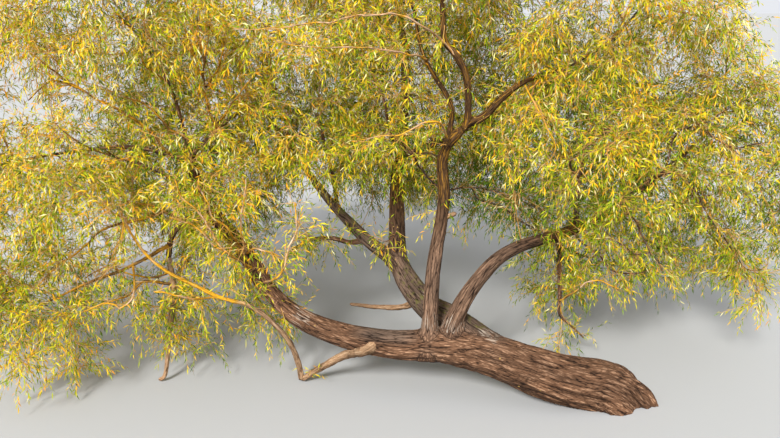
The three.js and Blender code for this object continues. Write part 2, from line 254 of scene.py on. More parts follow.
# Boughs that the masses hide: they carry the limbs on into the foliage
INNER_BOUGHS = [
    limb("to_left_low", (0.042, 0.03), (-4.12, 0.59, 1.905), (-4.45, 0.62, 1.87), (-4.62, 0.6, 1.7),
        (-4.68, 0.58, 1.45)),
    limb("to_left_stem", (0.03, 0.034), (-4.68, 0.58, 1.45), (-4.66, 0.58, 1.1), (-4.7, 0.56, 0.79),
        follows=True, look="pale"),
    limb("to_left_front", (0.021, 0.008), (-4.665, 0.585, 1.58), (-4.74, 0.55, 1.555), (-4.82, 0.52, 1.51),
        (-4.98, 0.48, 1.43), (-5.18, 0.45, 1.34), (-5.36, 0.43, 1.28), (-5.57, 0.41, 1.2),
        (-5.9, 0.4, 1.04), (-6.27, 0.38, 0.89), look="brown"),
    limb("to_left_end", (0.028, 0.01), (-4.4, 0.72, 2.5), (-5.0, 0.9, 2.6), (-5.9, 1.1, 2.5),
        (-6.9, 1.2, 2.3)),
    limb("to_left_middle", (0.03, 0.012), (-4.14, 0.6, 1.95), (-4.7, 0.75, 2.35), (-5.3, 0.8, 2.55)),
    limb("to_left_top", (0.02, 0.008), (-4.41, 0.75, 2.7), (-4.6, 0.9, 3.3), (-5.1, 1.15, 4.0),
        (-5.5, 1.3, 4.6)),
    limb("to_inner_left", (0.026, 0.012), (-4.38, 0.72, 2.55), (-4.0, 0.95, 2.9), (-3.5, 1.2, 3.2)),
    limb("to_back_left", (0.038, 0.014), (-3.36, 2.02, 2.14), (-3.9, 2.5, 2.7), (-4.7, 2.95, 3.0)),
    limb("to_inner_middle", (0.03, 0.014), (-2.9, 1.66, 1.66), (-2.95, 1.5, 2.2), (-3.1, 1.35, 2.9)),
    limb("to_back_top", (0.055, 0.018), (-2.07, 1.68, 3.0), (-2.1, 2.2, 3.7), (-2.25, 2.9, 4.4)),
    limb("to_back_middle", (0.045, 0.016), (-2.12, 1.6, 2.65), (-2.05, 2.5, 3.0), (-2.05, 3.6, 3.2),
        (-2.05, 4.4, 2.9)),
    limb("to_back_right", (0.045, 0.016), (-2.15, 1.5, 2.35), (-1.2, 2.2, 2.6), (-0.2, 2.9, 2.9),
        (0.6, 3.4, 3.0)),
    limb("to_middle_top", (0.023, 0.012), (-1.77, 0.66, 4.5), (-1.9, 0.9, 5.0), (-2.1, 1.2, 5.5)),
    limb("to_middle_top_left", (0.016, 0.01), (-2.01, 1.03, 4.05), (-2.4, 1.2, 4.6), (-2.9, 1.3, 5.1)),
    limb("to_inner_front", (0.026, 0.012), (-2.12, 1.5, 2.4), (-2.25, 1.2, 2.7), (-2.35, 1.1, 3.2)),
    limb("to_right_top", (0.02, 0.012), (-0.5, 0.95, 3.4), (0.1, 1.2, 3.7), (0.6, 1.4, 4.2)),
    limb("to_right_end", (0.045, 0.014), (0.1, 0.92, 1.8), (0.7, 1.15, 2.15), (1.3, 1.35, 2.6),
        (1.6, 1.45, 2.9)),
    limb("to_right_inner", (0.03, 0.014), (-0.2, 0.8, 1.7), (-0.15, 1.0, 2.2), (-0.05, 1.0, 2.8)),
    limb("to_right_low", (0.02, 0.01), (-0.33, 0.93, 1.42), (-0.2, 1.3, 1.3), (0.2, 1.45, 1.1)),
]

# Thin branches that show between the leaves or stand bare in front of them
FAN = (0.013, 0.005)
FINE = (0.0085, 0.003)
OCHRE = (0.0125, 0.006)
STOUT = (0.019, 0.006)
LONG = (0.012, 0.0035)


def branch(name, look, thick, *path):
    return limb(name, thick, *path, follows=True, look=look)


THIN_BRANCHES = [
    branch("fan_stem", "brown", FAN, (-4.11, 0.75, 2.85), (-4.15, 0.72, 3.05), (-4.17, 0.7, 3.36),
        (-4.13, 0.68, 3.6), (-4.05, 0.7, 3.94)),
    branch("fan_left", "brown", FAN, (-4.17, 0.7, 3.36), (-4.22, 0.62, 3.55), (-4.25, 0.6, 3.71),
        (-4.31, 0.6, 3.93)),
    branch("fan_right", "brown", FAN, (-4.16, 0.7, 3.28), (-4.04, 0.66, 3.42), (-3.95, 0.62, 3.6),
        (-3.89, 0.6, 3.85)),
    branch("fan_far_left", "brown", FINE, (-4.23, 0.6, 3.6), (-4.29, 0.6, 3.7), (-4.37, 0.6, 3.79),
        (-4.46, 0.62, 3.87)),
    branch("fan_middle", "brown", FINE, (-4.15, 0.69, 3.5), (-4.17, 0.64, 3.73), (-4.17, 0.62, 3.93),
        (-4.17, 0.62, 4.06)),
    branch("fan_low", "brown", FAN, (-3.97, 0.6, 2.99), (-3.83, 0.6, 3.18), (-3.69, 0.6, 3.36)),
    branch("upper_left", "brown", STOUT, (-4.66, 0.7, 2.65), (-4.78, 0.7, 2.82), (-5.04, 0.72, 3.01),
        (-5.31, 0.75, 3.15), (-5.44, 0.76, 3.23), (-5.6, 0.78, 3.31), (-5.79, 0.78, 3.33),
        (-5.9, 0.76, 3.24), (-6.03, 0.75, 3.13)),
    branch("upper_left_fork", "brown", FAN, (-5.44, 0.76, 3.23), (-5.57, 0.74, 3.3), (-5.69, 0.73, 3.42),
        (-5.81, 0.72, 3.53), (-5.94, 0.72, 3.63)),
    branch("upper_left_top", "brown", FINE, (-5.57, 0.74, 3.3), (-5.64, 0.74, 3.47), (-5.71, 0.72, 3.59),
        (-5.74, 0.7, 3.68)),
    branch("left_fork_top", "brown", FINE, (-4.75, 0.62, 3.54), (-4.74, 0.6, 3.66), (-4.74, 0.59, 3.72),
        (-4.66, 0.58, 3.77), (-4.67, 0.58, 3.86), (-4.7, 0.58, 3.97)),
    branch("left_fork_side", "brown", FINE, (-4.66, 0.58, 3.77), (-4.54, 0.57, 3.73), (-4.44, 0.58, 3.61)),
    branch("left_twig", "brown", FAN, (-4.56, 0.62, 2.87), (-4.6, 0.6, 2.94), (-4.71, 0.58, 3.09),
        (-4.83, 0.57, 3.16), (-4.96, 0.58, 3.19)),
    branch("left_dark", "brown", FAN, (-4.83, 0.6, 2.04), (-4.97, 0.56, 2.08), (-5.14, 0.53, 2.1),
        (-5.28, 0.52, 2.1)),
    branch("left_high", "brown", STOUT, (-4.76, 0.62, 1.93), (-4.97, 0.55, 1.88), (-5.11, 0.5, 1.87),
        (-5.3, 0.46, 1.81), (-5.45, 0.43, 1.69), (-5.55, 0.4, 1.6), (-5.66, 0.38, 1.52),
        (-5.77, 0.36, 1.46), (-5.9, 0.34, 1.34), (-6.05, 0.32, 1.21)),
    branch("left_link", "ochre", FINE, (-5.1, 0.5, 1.87), (-5.11, 0.44, 1.73), (-5.16, 0.42, 1.65),
        (-5.24, 0.42, 1.5), (-5.3, 0.43, 1.39), (-5.36, 0.44, 1.28)),
    branch("left_cross", "brown", FAN, (-4.67, 0.58, 1.28), (-4.78, 0.53, 1.25), (-4.9, 0.47, 1.26),
        (-5.03, 0.42, 1.31), (-5.13, 0.4, 1.36), (-5.27, 0.38, 1.42), (-5.37, 0.36, 1.39),
        (-5.5, 0.34, 1.31)),
    branch("left_low", "brown", STOUT, (-4.67, 0.58, 1.13), (-4.85, 0.5, 1.2), (-4.97, 0.46, 1.19),
        (-5.02, 0.43, 1.15), (-5.1, 0.4, 1.07), (-5.2, 0.38, 1.04), (-5.31, 0.36, 1.01)),
    branch("left_low_tip", "ochre", OCHRE, (-5.04, 0.42, 1.12), (-5.08, 0.38, 1.01), (-5.19, 0.35, 0.94),
        (-5.23, 0.33, 1.0), (-5.32, 0.31, 1.03), (-5.43, 0.3, 1.0), (-5.55, 0.28, 0.94)),
    # These branches in the middle and at the right take the dark bark rather than the brown wood, partly as
    # painted shade for the crown's shadow they stand in
    branch("middle_dark", "bark", FINE, (-1.72, 0.58, 2.56), (-1.86, 0.7, 2.59), (-2.04, 0.85, 2.56),
        (-2.26, 0.9, 2.77)),
    branch("back_right", "bark", FAN, (-1.7, 1.1, 2.1), (-1.21, 1.3, 2.04), (-0.84, 1.4, 1.91),
        (-0.45, 1.3, 1.76)),
    branch("back_right_low", "bark", FAN, (-1.23, 1.3, 1.91), (-0.97, 1.3, 1.82), (-0.72, 1.2, 1.66),
        (-0.42, 0.9, 1.58)),
    branch("upright_twig", "bark", FINE, (-2.18, 1.25, 1.62), (-2.21, 1.15, 1.5), (-2.31, 1.1, 1.44),
        (-2.4, 1.1, 1.48)),
    branch("right_dark", "bark", FAN, (-0.11, 0.7, 1.56), (0.06, 0.66, 1.44), (0.19, 0.64, 1.28),
        (0.41, 0.64, 1.23), (0.66, 0.66, 1.28)),
    branch("right_up", "bark", FAN, (0.43, 0.7, 1.82), (0.47, 0.64, 1.72), (0.52, 0.6, 1.61),
        (0.57, 0.59, 1.51), (0.68, 0.58, 1.4), (0.74, 0.58, 1.28)),
    branch("right_up_left", "bark", FINE, (0.57, 0.59, 1.51), (0.41, 0.56, 1.5), (0.24, 0.56, 1.62),
        (0.03, 0.6, 1.76)),
    branch("right_far", "bark", FAN, (0.75, 0.9, 2.31), (0.85, 0.86, 2.33), (0.95, 0.82, 2.27),
        (1.08, 0.8, 2.15), (1.18, 0.8, 1.98), (1.26, 0.8, 1.85), (1.41, 0.82, 1.68)),
    branch("right_far_left", "bark", FINE, (1.08, 0.8, 2.15), (1.03, 0.78, 2.07), (0.95, 0.76, 2.0)),
    branch("right_far_right", "bark", FINE, (1.09, 0.8, 2.14), (1.17, 0.77, 2.1), (1.26, 0.75, 2.11)),
    branch("right_top", "bark", FINE, (0.82, 0.8, 2.81), (1.03, 0.7, 2.9), (1.22, 0.68, 3.05),
        (1.63, 0.7, 3.25)),
    branch("right_fork", "bark", FAN, (1.08, 0.9, 2.82), (1.24, 0.84, 2.71), (1.44, 0.8, 2.62),
        (1.63, 0.78, 2.66), (1.77, 0.78, 2.69)),
    branch("right_fork_low", "bark", FINE, (1.27, 0.83, 2.69), (1.42, 0.8, 2.6), (1.56, 0.78, 2.49)),
    branch("right_short", "bark", FAN, (-0.33, 0.75, 2.48), (-0.28, 0.7, 2.56), (-0.21, 0.66, 2.65),
        (-0.1, 0.64, 2.75), (0.03, 0.64, 2.86)),
    branch("right_low", "bark", FINE, (1.81, 1.0, 1.23), (1.89, 0.98, 1.15), (1.99, 0.96, 1.13),
        (2.1, 0.95, 1.23)),
    branch("orange_a", "ochre", OCHRE, (-3.72, 0.42, 1.38), (-3.98, 0.3, 1.62), (-4.11, 0.25, 1.87),
        (-4.23, 0.2, 2.12), (-4.34, 0.18, 2.23), (-4.4, 0.16, 2.43)),
    branch("orange_b", "ochre", OCHRE, (-3.8, 0.46, 1.52), (-3.99, 0.32, 1.91), (-4.1, 0.28, 2.05),
        (-4.12, 0.24, 2.2), (-4.17, 0.22, 2.33), (-4.17, 0.2, 2.44)),
    branch("orange_c", "ochre", OCHRE, (-3.98, 0.3, 1.62), (-4.1, 0.34, 1.67), (-4.2, 0.3, 1.82),
        (-4.3, 0.27, 1.93), (-4.43, 0.25, 1.98), (-4.51, 0.24, 2.03)),
    branch("orange_right", "ochre", OCHRE, (-3.8, 0.46, 1.54), (-3.67, 0.36, 1.63), (-3.54, 0.34, 1.6),
        (-3.41, 0.32, 1.55)),
    branch("pale_upright", "pale", OCHRE, (-3.8, 0.46, 1.54), (-3.82, 0.34, 1.89), (-3.79, 0.32, 2.04),
        (-3.74, 0.3, 2.25), (-3.71, 0.3, 2.4)),
    branch("pale_right", "pale", OCHRE, (-3.62, 0.4, 1.24), (-3.52, 0.28, 1.29), (-3.39, 0.26, 1.43),
        (-3.31, 0.24, 1.68), (-3.24, 0.24, 1.84), (-3.22, 0.26, 2.17)),
    branch("rising_twig", "ochre", OCHRE, (-4.05, 0.23, 1.13), (-4.2, 0.22, 1.13), (-4.33, 0.2, 1.12),
        (-4.55, 0.18, 1.19), (-4.74, 0.18, 1.22)),
    branch("top_pale", "pale", LONG, (-1.56, 0.6, 3.54), (-1.73, 0.56, 3.74), (-1.93, 0.5, 3.88),
        (-2.16, 0.44, 4.0), (-2.4, 0.4, 4.0), (-2.69, 0.36, 3.98), (-2.78, 0.34, 3.95), (-3.11, 0.32, 3.91),
        (-3.4, 0.3, 3.88), (-3.76, 0.3, 3.88)),
    branch("top_pale_low", "pale", LONG, (-1.88, 0.88, 3.54), (-2.0, 0.65, 3.6), (-2.14, 0.46, 3.64),
        (-2.31, 0.42, 3.67), (-2.55, 0.38, 3.69), (-2.79, 0.36, 3.7), (-3.08, 0.34, 3.71),
        (-3.22, 0.33, 3.73), (-3.36, 0.32, 3.77)),
    branch("mid_orange", "ochre", LONG, (-1.67, 0.55, 2.78), (-1.78, 0.5, 2.96), (-2.01, 0.47, 2.91),
        (-2.16, 0.46, 2.83), (-2.31, 0.46, 2.81), (-2.57, 0.48, 2.78)),
    branch("right_orange", "ochre", OCHRE, (-0.26, 0.98, 0.75), (-0.18, 0.9, 0.85), (-0.12, 0.88, 0.89),
        (-0.01, 0.86, 1.03), (0.15, 0.86, 1.05), (0.39, 0.86, 0.94)),
    branch("right_front", "ochre", FINE, (-0.88, 0.66, 3.3), (-0.67, 0.4, 2.89), (-0.59, 0.34, 2.72),
        (-0.67, 0.3, 2.6), (-0.77, 0.28, 2.49)),
    branch("hanging_tip", "ochre", FINE, (-0.25, 1.0, 0.7), (-0.22, 1.0, 0.52), (-0.21, 1.0, 0.36),
        (-0.22, 1.0, 0.12)),
]
STUBS = [
    limb("middle_stub", (0.03, 0.023), (-1.7, 0.45, 1.95), (-1.62, 0.43, 1.98), (-1.57, 0.41, 2.01),
        look="pale"),
]
LEAFY_FROM = 0.2  # share of a thin branch that is bare
IN_FRONT = ("ochre", "pale")
BROUGHT_FORWARD = 0.4  # how far those branches swing out from the foliage towards the front
FORWARD_WITHIN = 0.25  # of the limbs they come from
BEHIND_FIRST = 1.5  # with it, wood ahead of a branch counts as five times as far as wood behind it
TOUCHES = 0.06  # a thin branch that starts farther from all wood is drawn back to it
BEND = 0.016  # how far a thin branch winds to the sides
BEND_LENGTH = 0.13
BENDS_BETWEEN = (0.02, 0.15)  # distances from the limbs between which the bends grow
SIDE_TWIG_EVERY = 0.15
SIDE_TWIG_LENGTH = (0.12, 0.3)
SIDE_TWIG_STEPS = 4
SIDE_TWIG_RADIUS = (0.0042, 0.0014)
SIDE_TWIG_SHARE = 0.55  # of the branch's radius, at most
SIDE_TWIGS_ON = (0.12, 0.95)  # shares of the branch
SIDE_TWIG_OUT = 0.9  # beside one part along the branch
SIDE_TWIG_BENDS = 0.12  # towards the branch's way, with each step
SIDE_TWIG_WANDERS = 0.16
# Limbs and branches that show, as few leaves hang before them: the share of those leaves that go,
# how far to the side of the centreline, in the picture's pixels, and on which share of its length
SHOWN = {
    "ochre": (0.94, 3.0, 1.0),
    "pale": (0.88, 2.6, 1.0),
    "brown": (0.65, 2.4, 1.0),
    "bark": (0.75, 2.8, 1.0),
    "left_high": (0.8, 3.5, 1.0),
    "left_cross": (0.9, 4.0, 1.0),
    "left_low": (0.9, 4.5, 1.0),
    "to_left_front": (0.9, 5.0, 0.7),
    "broken_branch_arching": (0.92, 3.2, 0.97),
    "broken_branch_rising": (0.95, 4.5, 1.0),
    "left_bough_upper": (0.4, 7.0, 0.62),
    "left_bough_lower": (0.6, 11.0, 1.0),
    "middle_bough": (0.7, 7.0, 1.0),
    "middle_left_limb": (0.7, 4.0, 0.9),
    "middle_right_limb": (0.75, 4.5, 0.56),
    "middle_back_limb": (0.45, 3.0, 0.8),
    "right_bough": (0.6, 7.0, 0.64),
    "hanging_limb_upper": (0.6, 3.0, 1.0),
    "hanging_limb_lower": (0.6, 3.0, 1.0),
}


def unit(v):
    """The vectors in v at length one."""
    v = np.asarray(v, float)
    return v / np.maximum(np.linalg.norm(v, axis=-1, keepdims=True), 1e-12)


def smoothstep(x, low, high):
    t = np.clip((x - low) / (high - low), 0, 1)
    return t * t * (3 - 2 * t)


def step_lengths(points):
    return np.linalg.norm(np.diff(points, axis=0), axis=1)


def curve_through(points, count):
    """count points, evenly spaced, on the smooth curve through the given ones."""
    p = [np.array(q, float) for q in points]
    p = [2 * p[0] - p[1], *p, 2 * p[-1] - p[-2]]
    w = np.linspace(0, 1, CURVE_STEPS, endpoint=False)[:, None]
    dense = []
    for a, b, c, d in zip(p, p[1:], p[2:], p[3:]):
        s, t, u = (np.linalg.norm(y - x) ** 0.5 for x, y in ((a, b), (b, c), (c, d)))
        leaves = t * ((b - a) / s - (c - a) / (s + t) + (c - b) / t)
        arrives = t * ((c - b) / t - (d - b) / (t + u) + (d - c) / u)
        square = 3 * (c - b) - 2 * leaves - arrives
        cube = 2 * (b - c) + leaves + arrives
        dense.append(b + leaves * w + square * w**2 + cube * w**3)
    dense = np.vstack([*dense, p[-2]])
    run = np.r_[0, np.cumsum(step_lengths(dense))]
    at = np.linspace(0, run[-1], count)
    return np.column_stack([np.interp(at, run, dense[:, k]) for k in range(3)])


def frames_along(points):
    """The curve's direction and two directions across it at each point, turning as little as they can."""
    tangent = unit(np.gradient(points, axis=0))
    first = np.cross(tangent[0], np.eye(3)[np.argmin(np.abs(tangent[0]))])
    normal = np.cross(tangent[0], unit(first))
    normals = [normal]
    for after in tangent[1:]:
        normal = unit(normal - after * np.dot(normal, after))
        normals.append(normal)
    normals = np.array(normals)
    return tangent, normals, np.cross(tangent, normals)


# A limb sampled along its centreline
Sampled = namedtuple("Sampled", "name centre tangent normal binormal run radius limb")


def sampled_path(path):
    """Even samples of a path: their shares of the way, then their centres, directions and runs."""
    length = float(step_lengths(curve_through(path, ROUGH_SAMPLES)).sum())
    centre = curve_through(path, max(FEWEST_SAMPLES, int(length / STEP_ALONG)))
    share = np.linspace(0, 1, len(centre))
    return share, (centre, *frames_along(centre), share * length)


def sampled(item):
    """A limb's samples. It swells at its start, unless it follows on from another limb."""
    share, line = sampled_path(item.path)
    swell, reach = (0, 1) if item.follows else item.collar
    start, end = item.thick
    run = line[-1]
    radius = (start + (end - start) * share) * (1 + swell * np.exp(-run / (reach * start)))
    return Sampled(item.name, *line, radius, item)


def trunk_sampled():
    """The trunk's samples. Its radius here is the one without the root lobes."""
    share, line = sampled_path(TRUNK_PATH)
    foot, top = TRUNK_TAPER
    narrows = 1 - FORK_NARROWS * smoothstep(share, FORK_FROM, 1)
    return Sampled("trunk", *line, TRUNK_RADIUS * (foot + (top - foot) * share) * narrows, None)


def root_swell(share, angle):
    """How far the root lobes push the trunk's surface out, as a factor."""
    at_ground = smoothstep(ROOTS_END - share, 0, ROOTS_FADE)
    ridge = 0.5 + 0.5 * np.cos(ROOT_LOBES * angle + LOBE_TURN)
    return 1 + ROOT_SPREAD * at_ground * ridge


def round_about(normal, binormal, sides):
    """The ways out to the sides of a tube, at each of its rings."""
    angle = np.linspace(0, 2 * np.pi, sides, endpoint=False)[None, :, None]
    return np.cos(angle) * normal[:, None] + np.sin(angle) * binormal[:, None]


def tube_arrays(centre, normal, binormal, radius, sides):
    """Vertices and faces of a closed tube. radius is one number a ring, or one a vertex."""
    rings = len(centre)
    reach = np.broadcast_to(np.asarray(radius, float).reshape(rings, -1), (rings, sides))
    out = round_about(normal, binormal, sides)
    verts = (centre[:, None, :] + out * reach[..., None]).reshape(-1, 3)
    ring, side = np.meshgrid(np.arange(rings - 1), np.arange(sides), indexing="ij")
    a = ring * sides + side
    b = ring * sides + (side + 1) % sides
    quads = np.stack([a, b, b + sides, a + sides], -1).reshape(-1, 4)
    caps = [list(range(sides))[::-1], list(range((rings - 1) * sides, rings * sides))]
    return verts, [*quads.tolist(), *caps]


def placed(name, data):
    """A new object that shows the data in the scene."""
    thing = bpy.data.objects.new(name, data)
    bpy.context.collection.objects.link(thing)
    return thing


def mesh_object(name, verts, faces):
    mesh = bpy.data.meshes.new(name)
    mesh.from_pydata(np.asarray(verts).tolist(), [], faces)
    mesh.update()
    return placed(name, mesh)


def triangle_object(name, verts, tris):
    """A mesh of triangles from arrays, which is quick for many."""
    mesh = bpy.data.meshes.new(name)
    mesh.vertices.add(len(verts))
    mesh.vertices.foreach_set("co", np.asarray(verts, np.float32).ravel())
    mesh.loops.add(tris.size)
    mesh.loops.foreach_set("vertex_index", np.asarray(tris, np.int32).ravel())
    mesh.polygons.add(len(tris))
    mesh.polygons.foreach_set("loop_start", np.arange(0, tris.size, 3, dtype=np.int32))
    mesh.update(calc_edges=True)
    mesh.validate()
    return placed(name, mesh)


def joined(parts):
    """Several vertex and face lists as one."""
    verts, faces, base = [], [], 0
    for v, f in parts:
        verts.append(v)
        faces += [[i + base for i in face] for face in f]
        base += len(v)
    return np.vstack(verts), faces


def tree_of(points, numbers=None):
    """A tree that finds the point nearest to a place. It gives the point's number."""
    tree = KDTree(len(points))
    for number, point in zip(numbers or range(len(points)), points):
        tree.insert(point, number)
    tree.balance()
    return tree


def mesh_vectors(mesh, name):
    """Where the mesh's vertices lie, as co, or the ways out from them, as normal."""
    flat = np.empty(len(mesh.vertices) * 3)
    mesh.vertices.foreach_get(name, flat)
    return flat.reshape(-1, 3)


# Bark

TRUNK = trunk_sampled()
SAMPLED = {item.name: sampled(item) for item in LIMBS}
# Limbs with a mesh of their own, as they are too thin for the bark's voxels
UNWELDED = {"back_left_side_branch", "hanging_limb_upper", "hanging_limb_lower"}
# Each line of bark runs on through the limbs it names. Its moss and its grey are shares.
BARK_LINES = [
    (["trunk", "left_bough_lower", "left_bough_upper"], 0.3, 0.1),
    (["back_bough", "back_left_bough"], 0.74, 0.9),
    (["back_upright_bough"], 0.6, 0.5),
    (["middle_bough", "middle_right_limb"], 0.3, 0.55),
    (["middle_left_limb"], 0.2, 0.5),
    (["middle_back_limb"], 0.2, 0.5),
    (["right_bough"], 0.3, 0.5),
]
# Where the bark is worn to pale streaks, and how far round
SCUFFS = [
    ((-3.2, 0.3, 0.88), 0.3),
    ((-1.85, 0.7, 0.87), 0.32),
    ((-1.6, 0.18, 0.86), 0.3),
    ((-1.83, 0.17, 0.9), 0.28),
    ((-1.2, 0.1, 0.72), 0.3),
]
# Where it is weathered grey on top
WEATHERED = [((-2.3, 0.16, 0.78), 0.5), ((-1.75, 0.3, 0.82), 0.25)]
# Where it is darkened with painted shade of the crown, with streaks of ochre lichen
SHADED_AND_LICHENED = [
    ((-1.7, 0.55, 2.7), 1.3),
    ((-1.0, 0.7, 3.2), 1.2),
    ((-1.75, 0.7, 3.7), 1.4),
    ((-2.16, 1.5, 2.3), 1.2),
    ((-0.3, 0.75, 1.72), 0.75),
    ((-4.15, 0.6, 2.0), 0.9),
]
# How much of a thin limb the patches of old bark cover, from -0.5 to 0.5
OLD_SHARE = {"bark": 0.0, "brown": 0.2, "ochre": -0.12, "pale": 0.2}


def trunk_tube():
    share = np.linspace(0, 1, len(TRUNK.centre))[:, None]
    angle = np.linspace(0, 2 * np.pi, TRUNK_SIDES, endpoint=False)[None, :]
    radius = TRUNK.radius[:, None] * root_swell(share, angle)
    return tube_arrays(TRUNK.centre, TRUNK.normal, TRUNK.binormal, radius, TRUNK_SIDES)


def voxel_union(parts, voxel):
    """One skin round all the closed parts: its mesh and where its vertices lie."""
    rough = mesh_object("rough", *joined(parts))
    remesh = rough.modifiers.new("Remesh", "REMESH")
    remesh.mode = "VOXEL"
    remesh.voxel_size = voxel
    made = rough.evaluated_get(bpy.context.evaluated_depsgraph_get())
    skin = bpy.data.meshes.new_from_object(made)
    bpy.data.objects.remove(rough)
    return skin, mesh_vectors(skin, "co")


def smooth_verts(mesh, verts, rounds, share=0.5):
    """The vertices after that many moves by that share of the way to the middle of their neighbours."""
    edges = np.empty(len(mesh.edges) * 2, int)
    mesh.edges.foreach_get("vertices", edges)
    edges = edges.reshape(-1, 2)
    count = np.maximum(np.bincount(edges.ravel(), minlength=len(verts)), 1)[:, None]
    for _ in range(rounds):
        total = np.zeros_like(verts)
        for k in range(3):
            total[:, k] = np.bincount(edges[:, 0], verts[edges[:, 1], k], len(verts))
            total[:, k] += np.bincount(edges[:, 1], verts[edges[:, 0], k], len(verts))
        verts = verts + share * (total / count - verts)
    return verts


def closeness(verts, places):
    """How close each vertex lies to the places: 1 in the near reach of one, 0 past the far ones."""
    share = np.zeros(len(verts))
    for centre, near, far in places:
        gap = np.linalg.norm(verts - np.array(centre), axis=1)
        share = np.maximum(share, 1 - smoothstep(gap, near, far))
    return share


def near_places(verts, places):
    return closeness(verts, [(centre, PLACE_CORE * reach, reach) for centre, reach in places])


# A bark line: its samples, and how mossy and how grey it is
Line = namedtuple("Line", "centre tangent normal binormal run radius moss grey")


def bark_line(names, moss, grey):
    """The limbs that follow one another as a single centreline with its frames."""
    items = [TRUNK if n == "trunk" else SAMPLED[n] for n in names]
    centre = np.vstack([i.centre for i in items])
    keep = np.r_[True, step_lengths(centre) > CLOSEST * STEP_ALONG]
    centre = centre[keep]
    radius = np.concatenate([i.radius for i in items])[keep]
    run = np.r_[0, np.cumsum(step_lengths(centre))]
    return Line(centre, *frames_along(centre), run, radius, moss, grey)


def lumps(coords, size, seed):
    """Noise with lumps of that size along each axis."""
    shift = Vector((seed, seed * 2, -seed))
    return np.array([noise.noise(Vector(c) + shift) for c in coords / np.array(size)])


def plates(coords, across, along, seed):
    """From 0 in the furrows to 1 on the ridges of bark. The furrows run along the limb, join and part."""
    height = np.empty(len(coords))
    shift = Vector((seed, -seed, seed * 0.5))
    for i, c in enumerate(coords / np.array([across, across, along])):
        q = Vector(c)
        bend = noise.noise_vector(q * PLATE_BENDS + shift)
        height[i] = abs(noise.noise(q + PLATE_BEND * bend - shift))
    return smoothstep(height, 0, FURROW_WIDTH)


def bark_height(coords, size):
    """How far the bark stands out at each place of a limb with that radius, and its ridges."""
    depth = PLATE_HEIGHT * smoothstep(size, *PLATES_RISE) + LEAST_HEIGHT
    relief = plates(coords, *PLATE_SIZE, 3.1) - 0.5
    grooves = 1 - 3 * np.abs(lumps(coords, GROOVE_SIZE, 7.7))
    swells = lumps(coords, SWELL_SIZE, 5.3)
    stout = np.minimum(size, STOUTEST)
    height = depth * relief + GROOVE_DEPTH * stout * grooves + SWELL_HEIGHT * stout * swells
    return height, relief


def bark_fields(verts, lines):
    """The bark's height, unrolled place, ridges, moss and grey at each vertex, blended where limbs meet."""
    sums = np.zeros((len(verts), 5))
    best = np.full(len(verts), np.inf)
    place = np.zeros((len(verts), 3))
    apart, apart_aside = LINES_APART
    for number, line in enumerate(lines):
        tree = tree_of(line.centre)
        low = line.centre.min(0) - 0.5
        high = line.centre.max(0) + 0.5
        near = np.flatnonzero(((verts > low) & (verts < high)).all(1))
        found = [tree.find(verts[v]) for v in near]
        at = np.array([f[1] for f in found])
        gap = np.array([f[2] for f in found]) - line.radius[at]
        close = gap < np.maximum(BARK_REACH, REACH_OF_STOUT * line.radius[at])
        near, at, gap = near[close], at[close], gap[close]
        offset = verts[near] - line.centre[at]
        across = (offset * line.normal[at]).sum(1) + apart * number
        aside = (offset * line.binormal[at]).sum(1) + apart_aside * number
        along = line.run[at] + (offset * line.tangent[at]).sum(1)
        coords = np.column_stack([across, aside, along])
        rise, relief = bark_height(coords, line.radius[at])
        weight = np.exp(-np.maximum(gap, 0) / BARK_BLEND) + TINY
        same = np.ones(len(near))
        fields = np.column_stack([same, rise, relief, line.moss * same, line.grey * same])
        sums[near] += weight[:, None] * fields
        closer = gap < best[near]
        best[near[closer]] = gap[closer]
        place[near[closer]] = coords[closer]
    total, height, ridge, moss, grey = sums.T
    total = np.maximum(total, TINY)
    return height / total, place, ridge / total + 0.5, moss / total, grey / total


def set_bark_fields(mesh, place, **shares):
    """What the bark's material reads from the mesh: the place on the unrolled bark, and some shares."""
    field = mesh.attributes.new("bark_place", "FLOAT_VECTOR", "POINT")
    field.data.foreach_set("vector", np.asarray(place, np.float32).ravel())
    for name, values in shares.items():
        field = mesh.attributes.new(name, "FLOAT", "POINT")
        field.data.foreach_set("value", np.array(np.broadcast_to(values, len(place)), np.float32))


def cut_at_ground(mesh):
    """Trims what is under the ground and closes the cut with one flat face."""
    bm = bmesh.new()
    bm.from_mesh(mesh)
    geometry = bm.verts[:] + bm.edges[:] + bm.faces[:]
    bmesh.ops.bisect_plane(bm, geom=geometry, plane_co=(0, 0, 0), plane_no=(0, 0, -1), clear_outer=True)
    rim = [e for e in bm.edges if e.is_boundary]
    bmesh.ops.contextual_create(bm, geom=rim)
    bm.to_mesh(mesh)
    bm.free()


def bark_piece(stout):
    """The trunk and the stout limbs as one mesh, with the plates and furrows of the bark."""
    parts = [trunk_tube()]
    for item in stout:
        parts.append(tube_arrays(item.centre, item.normal, item.binormal, item.radius, LIMB_SIDES))
    mesh, verts = voxel_union(parts, BARK_VOXEL)
    verts = smooth_verts(mesh, verts, SMOOTHING_ROUNDS)
    near, far = JOINT_REACH
    joints = [(i.centre[0], near * i.limb.thick[0], far * i.limb.thick[0]) for i in stout]
    verts = smooth_verts(mesh, verts, JOINT_ROUNDS, 0.5 * closeness(verts, joints)[:, None])
    mesh.vertices.foreach_set("co", verts.ravel())
    mesh.update()
    normals = mesh_vectors(mesh, "normal")
    height, place, ridge, moss, grey = bark_fields(verts, [bark_line(*line) for line in BARK_LINES])
    weathered = WEATHERED_GREY * near_places(verts, WEATHERED) * smoothstep(normals[:, 2], *TOP_SIDE)
    grey = np.maximum(grey, weathered)
    worn = near_places(verts, SCUFFS)
    # painted shade of the crown on the limbs within it, which the lichen streaks share
    lichen = near_places(verts, SHADED_AND_LICHENED)
    set_bark_fields(mesh, place, ridge=ridge, moss=moss, grey=grey, worn=worn, lichen=lichen)
    verts = verts + normals * height[:, None]
    mesh.vertices.foreach_set("co", verts.ravel())
    cut_at_ground(mesh)
    mesh.shade_smooth()
    mesh.name = "bark"
    return placed("bark", mesh)


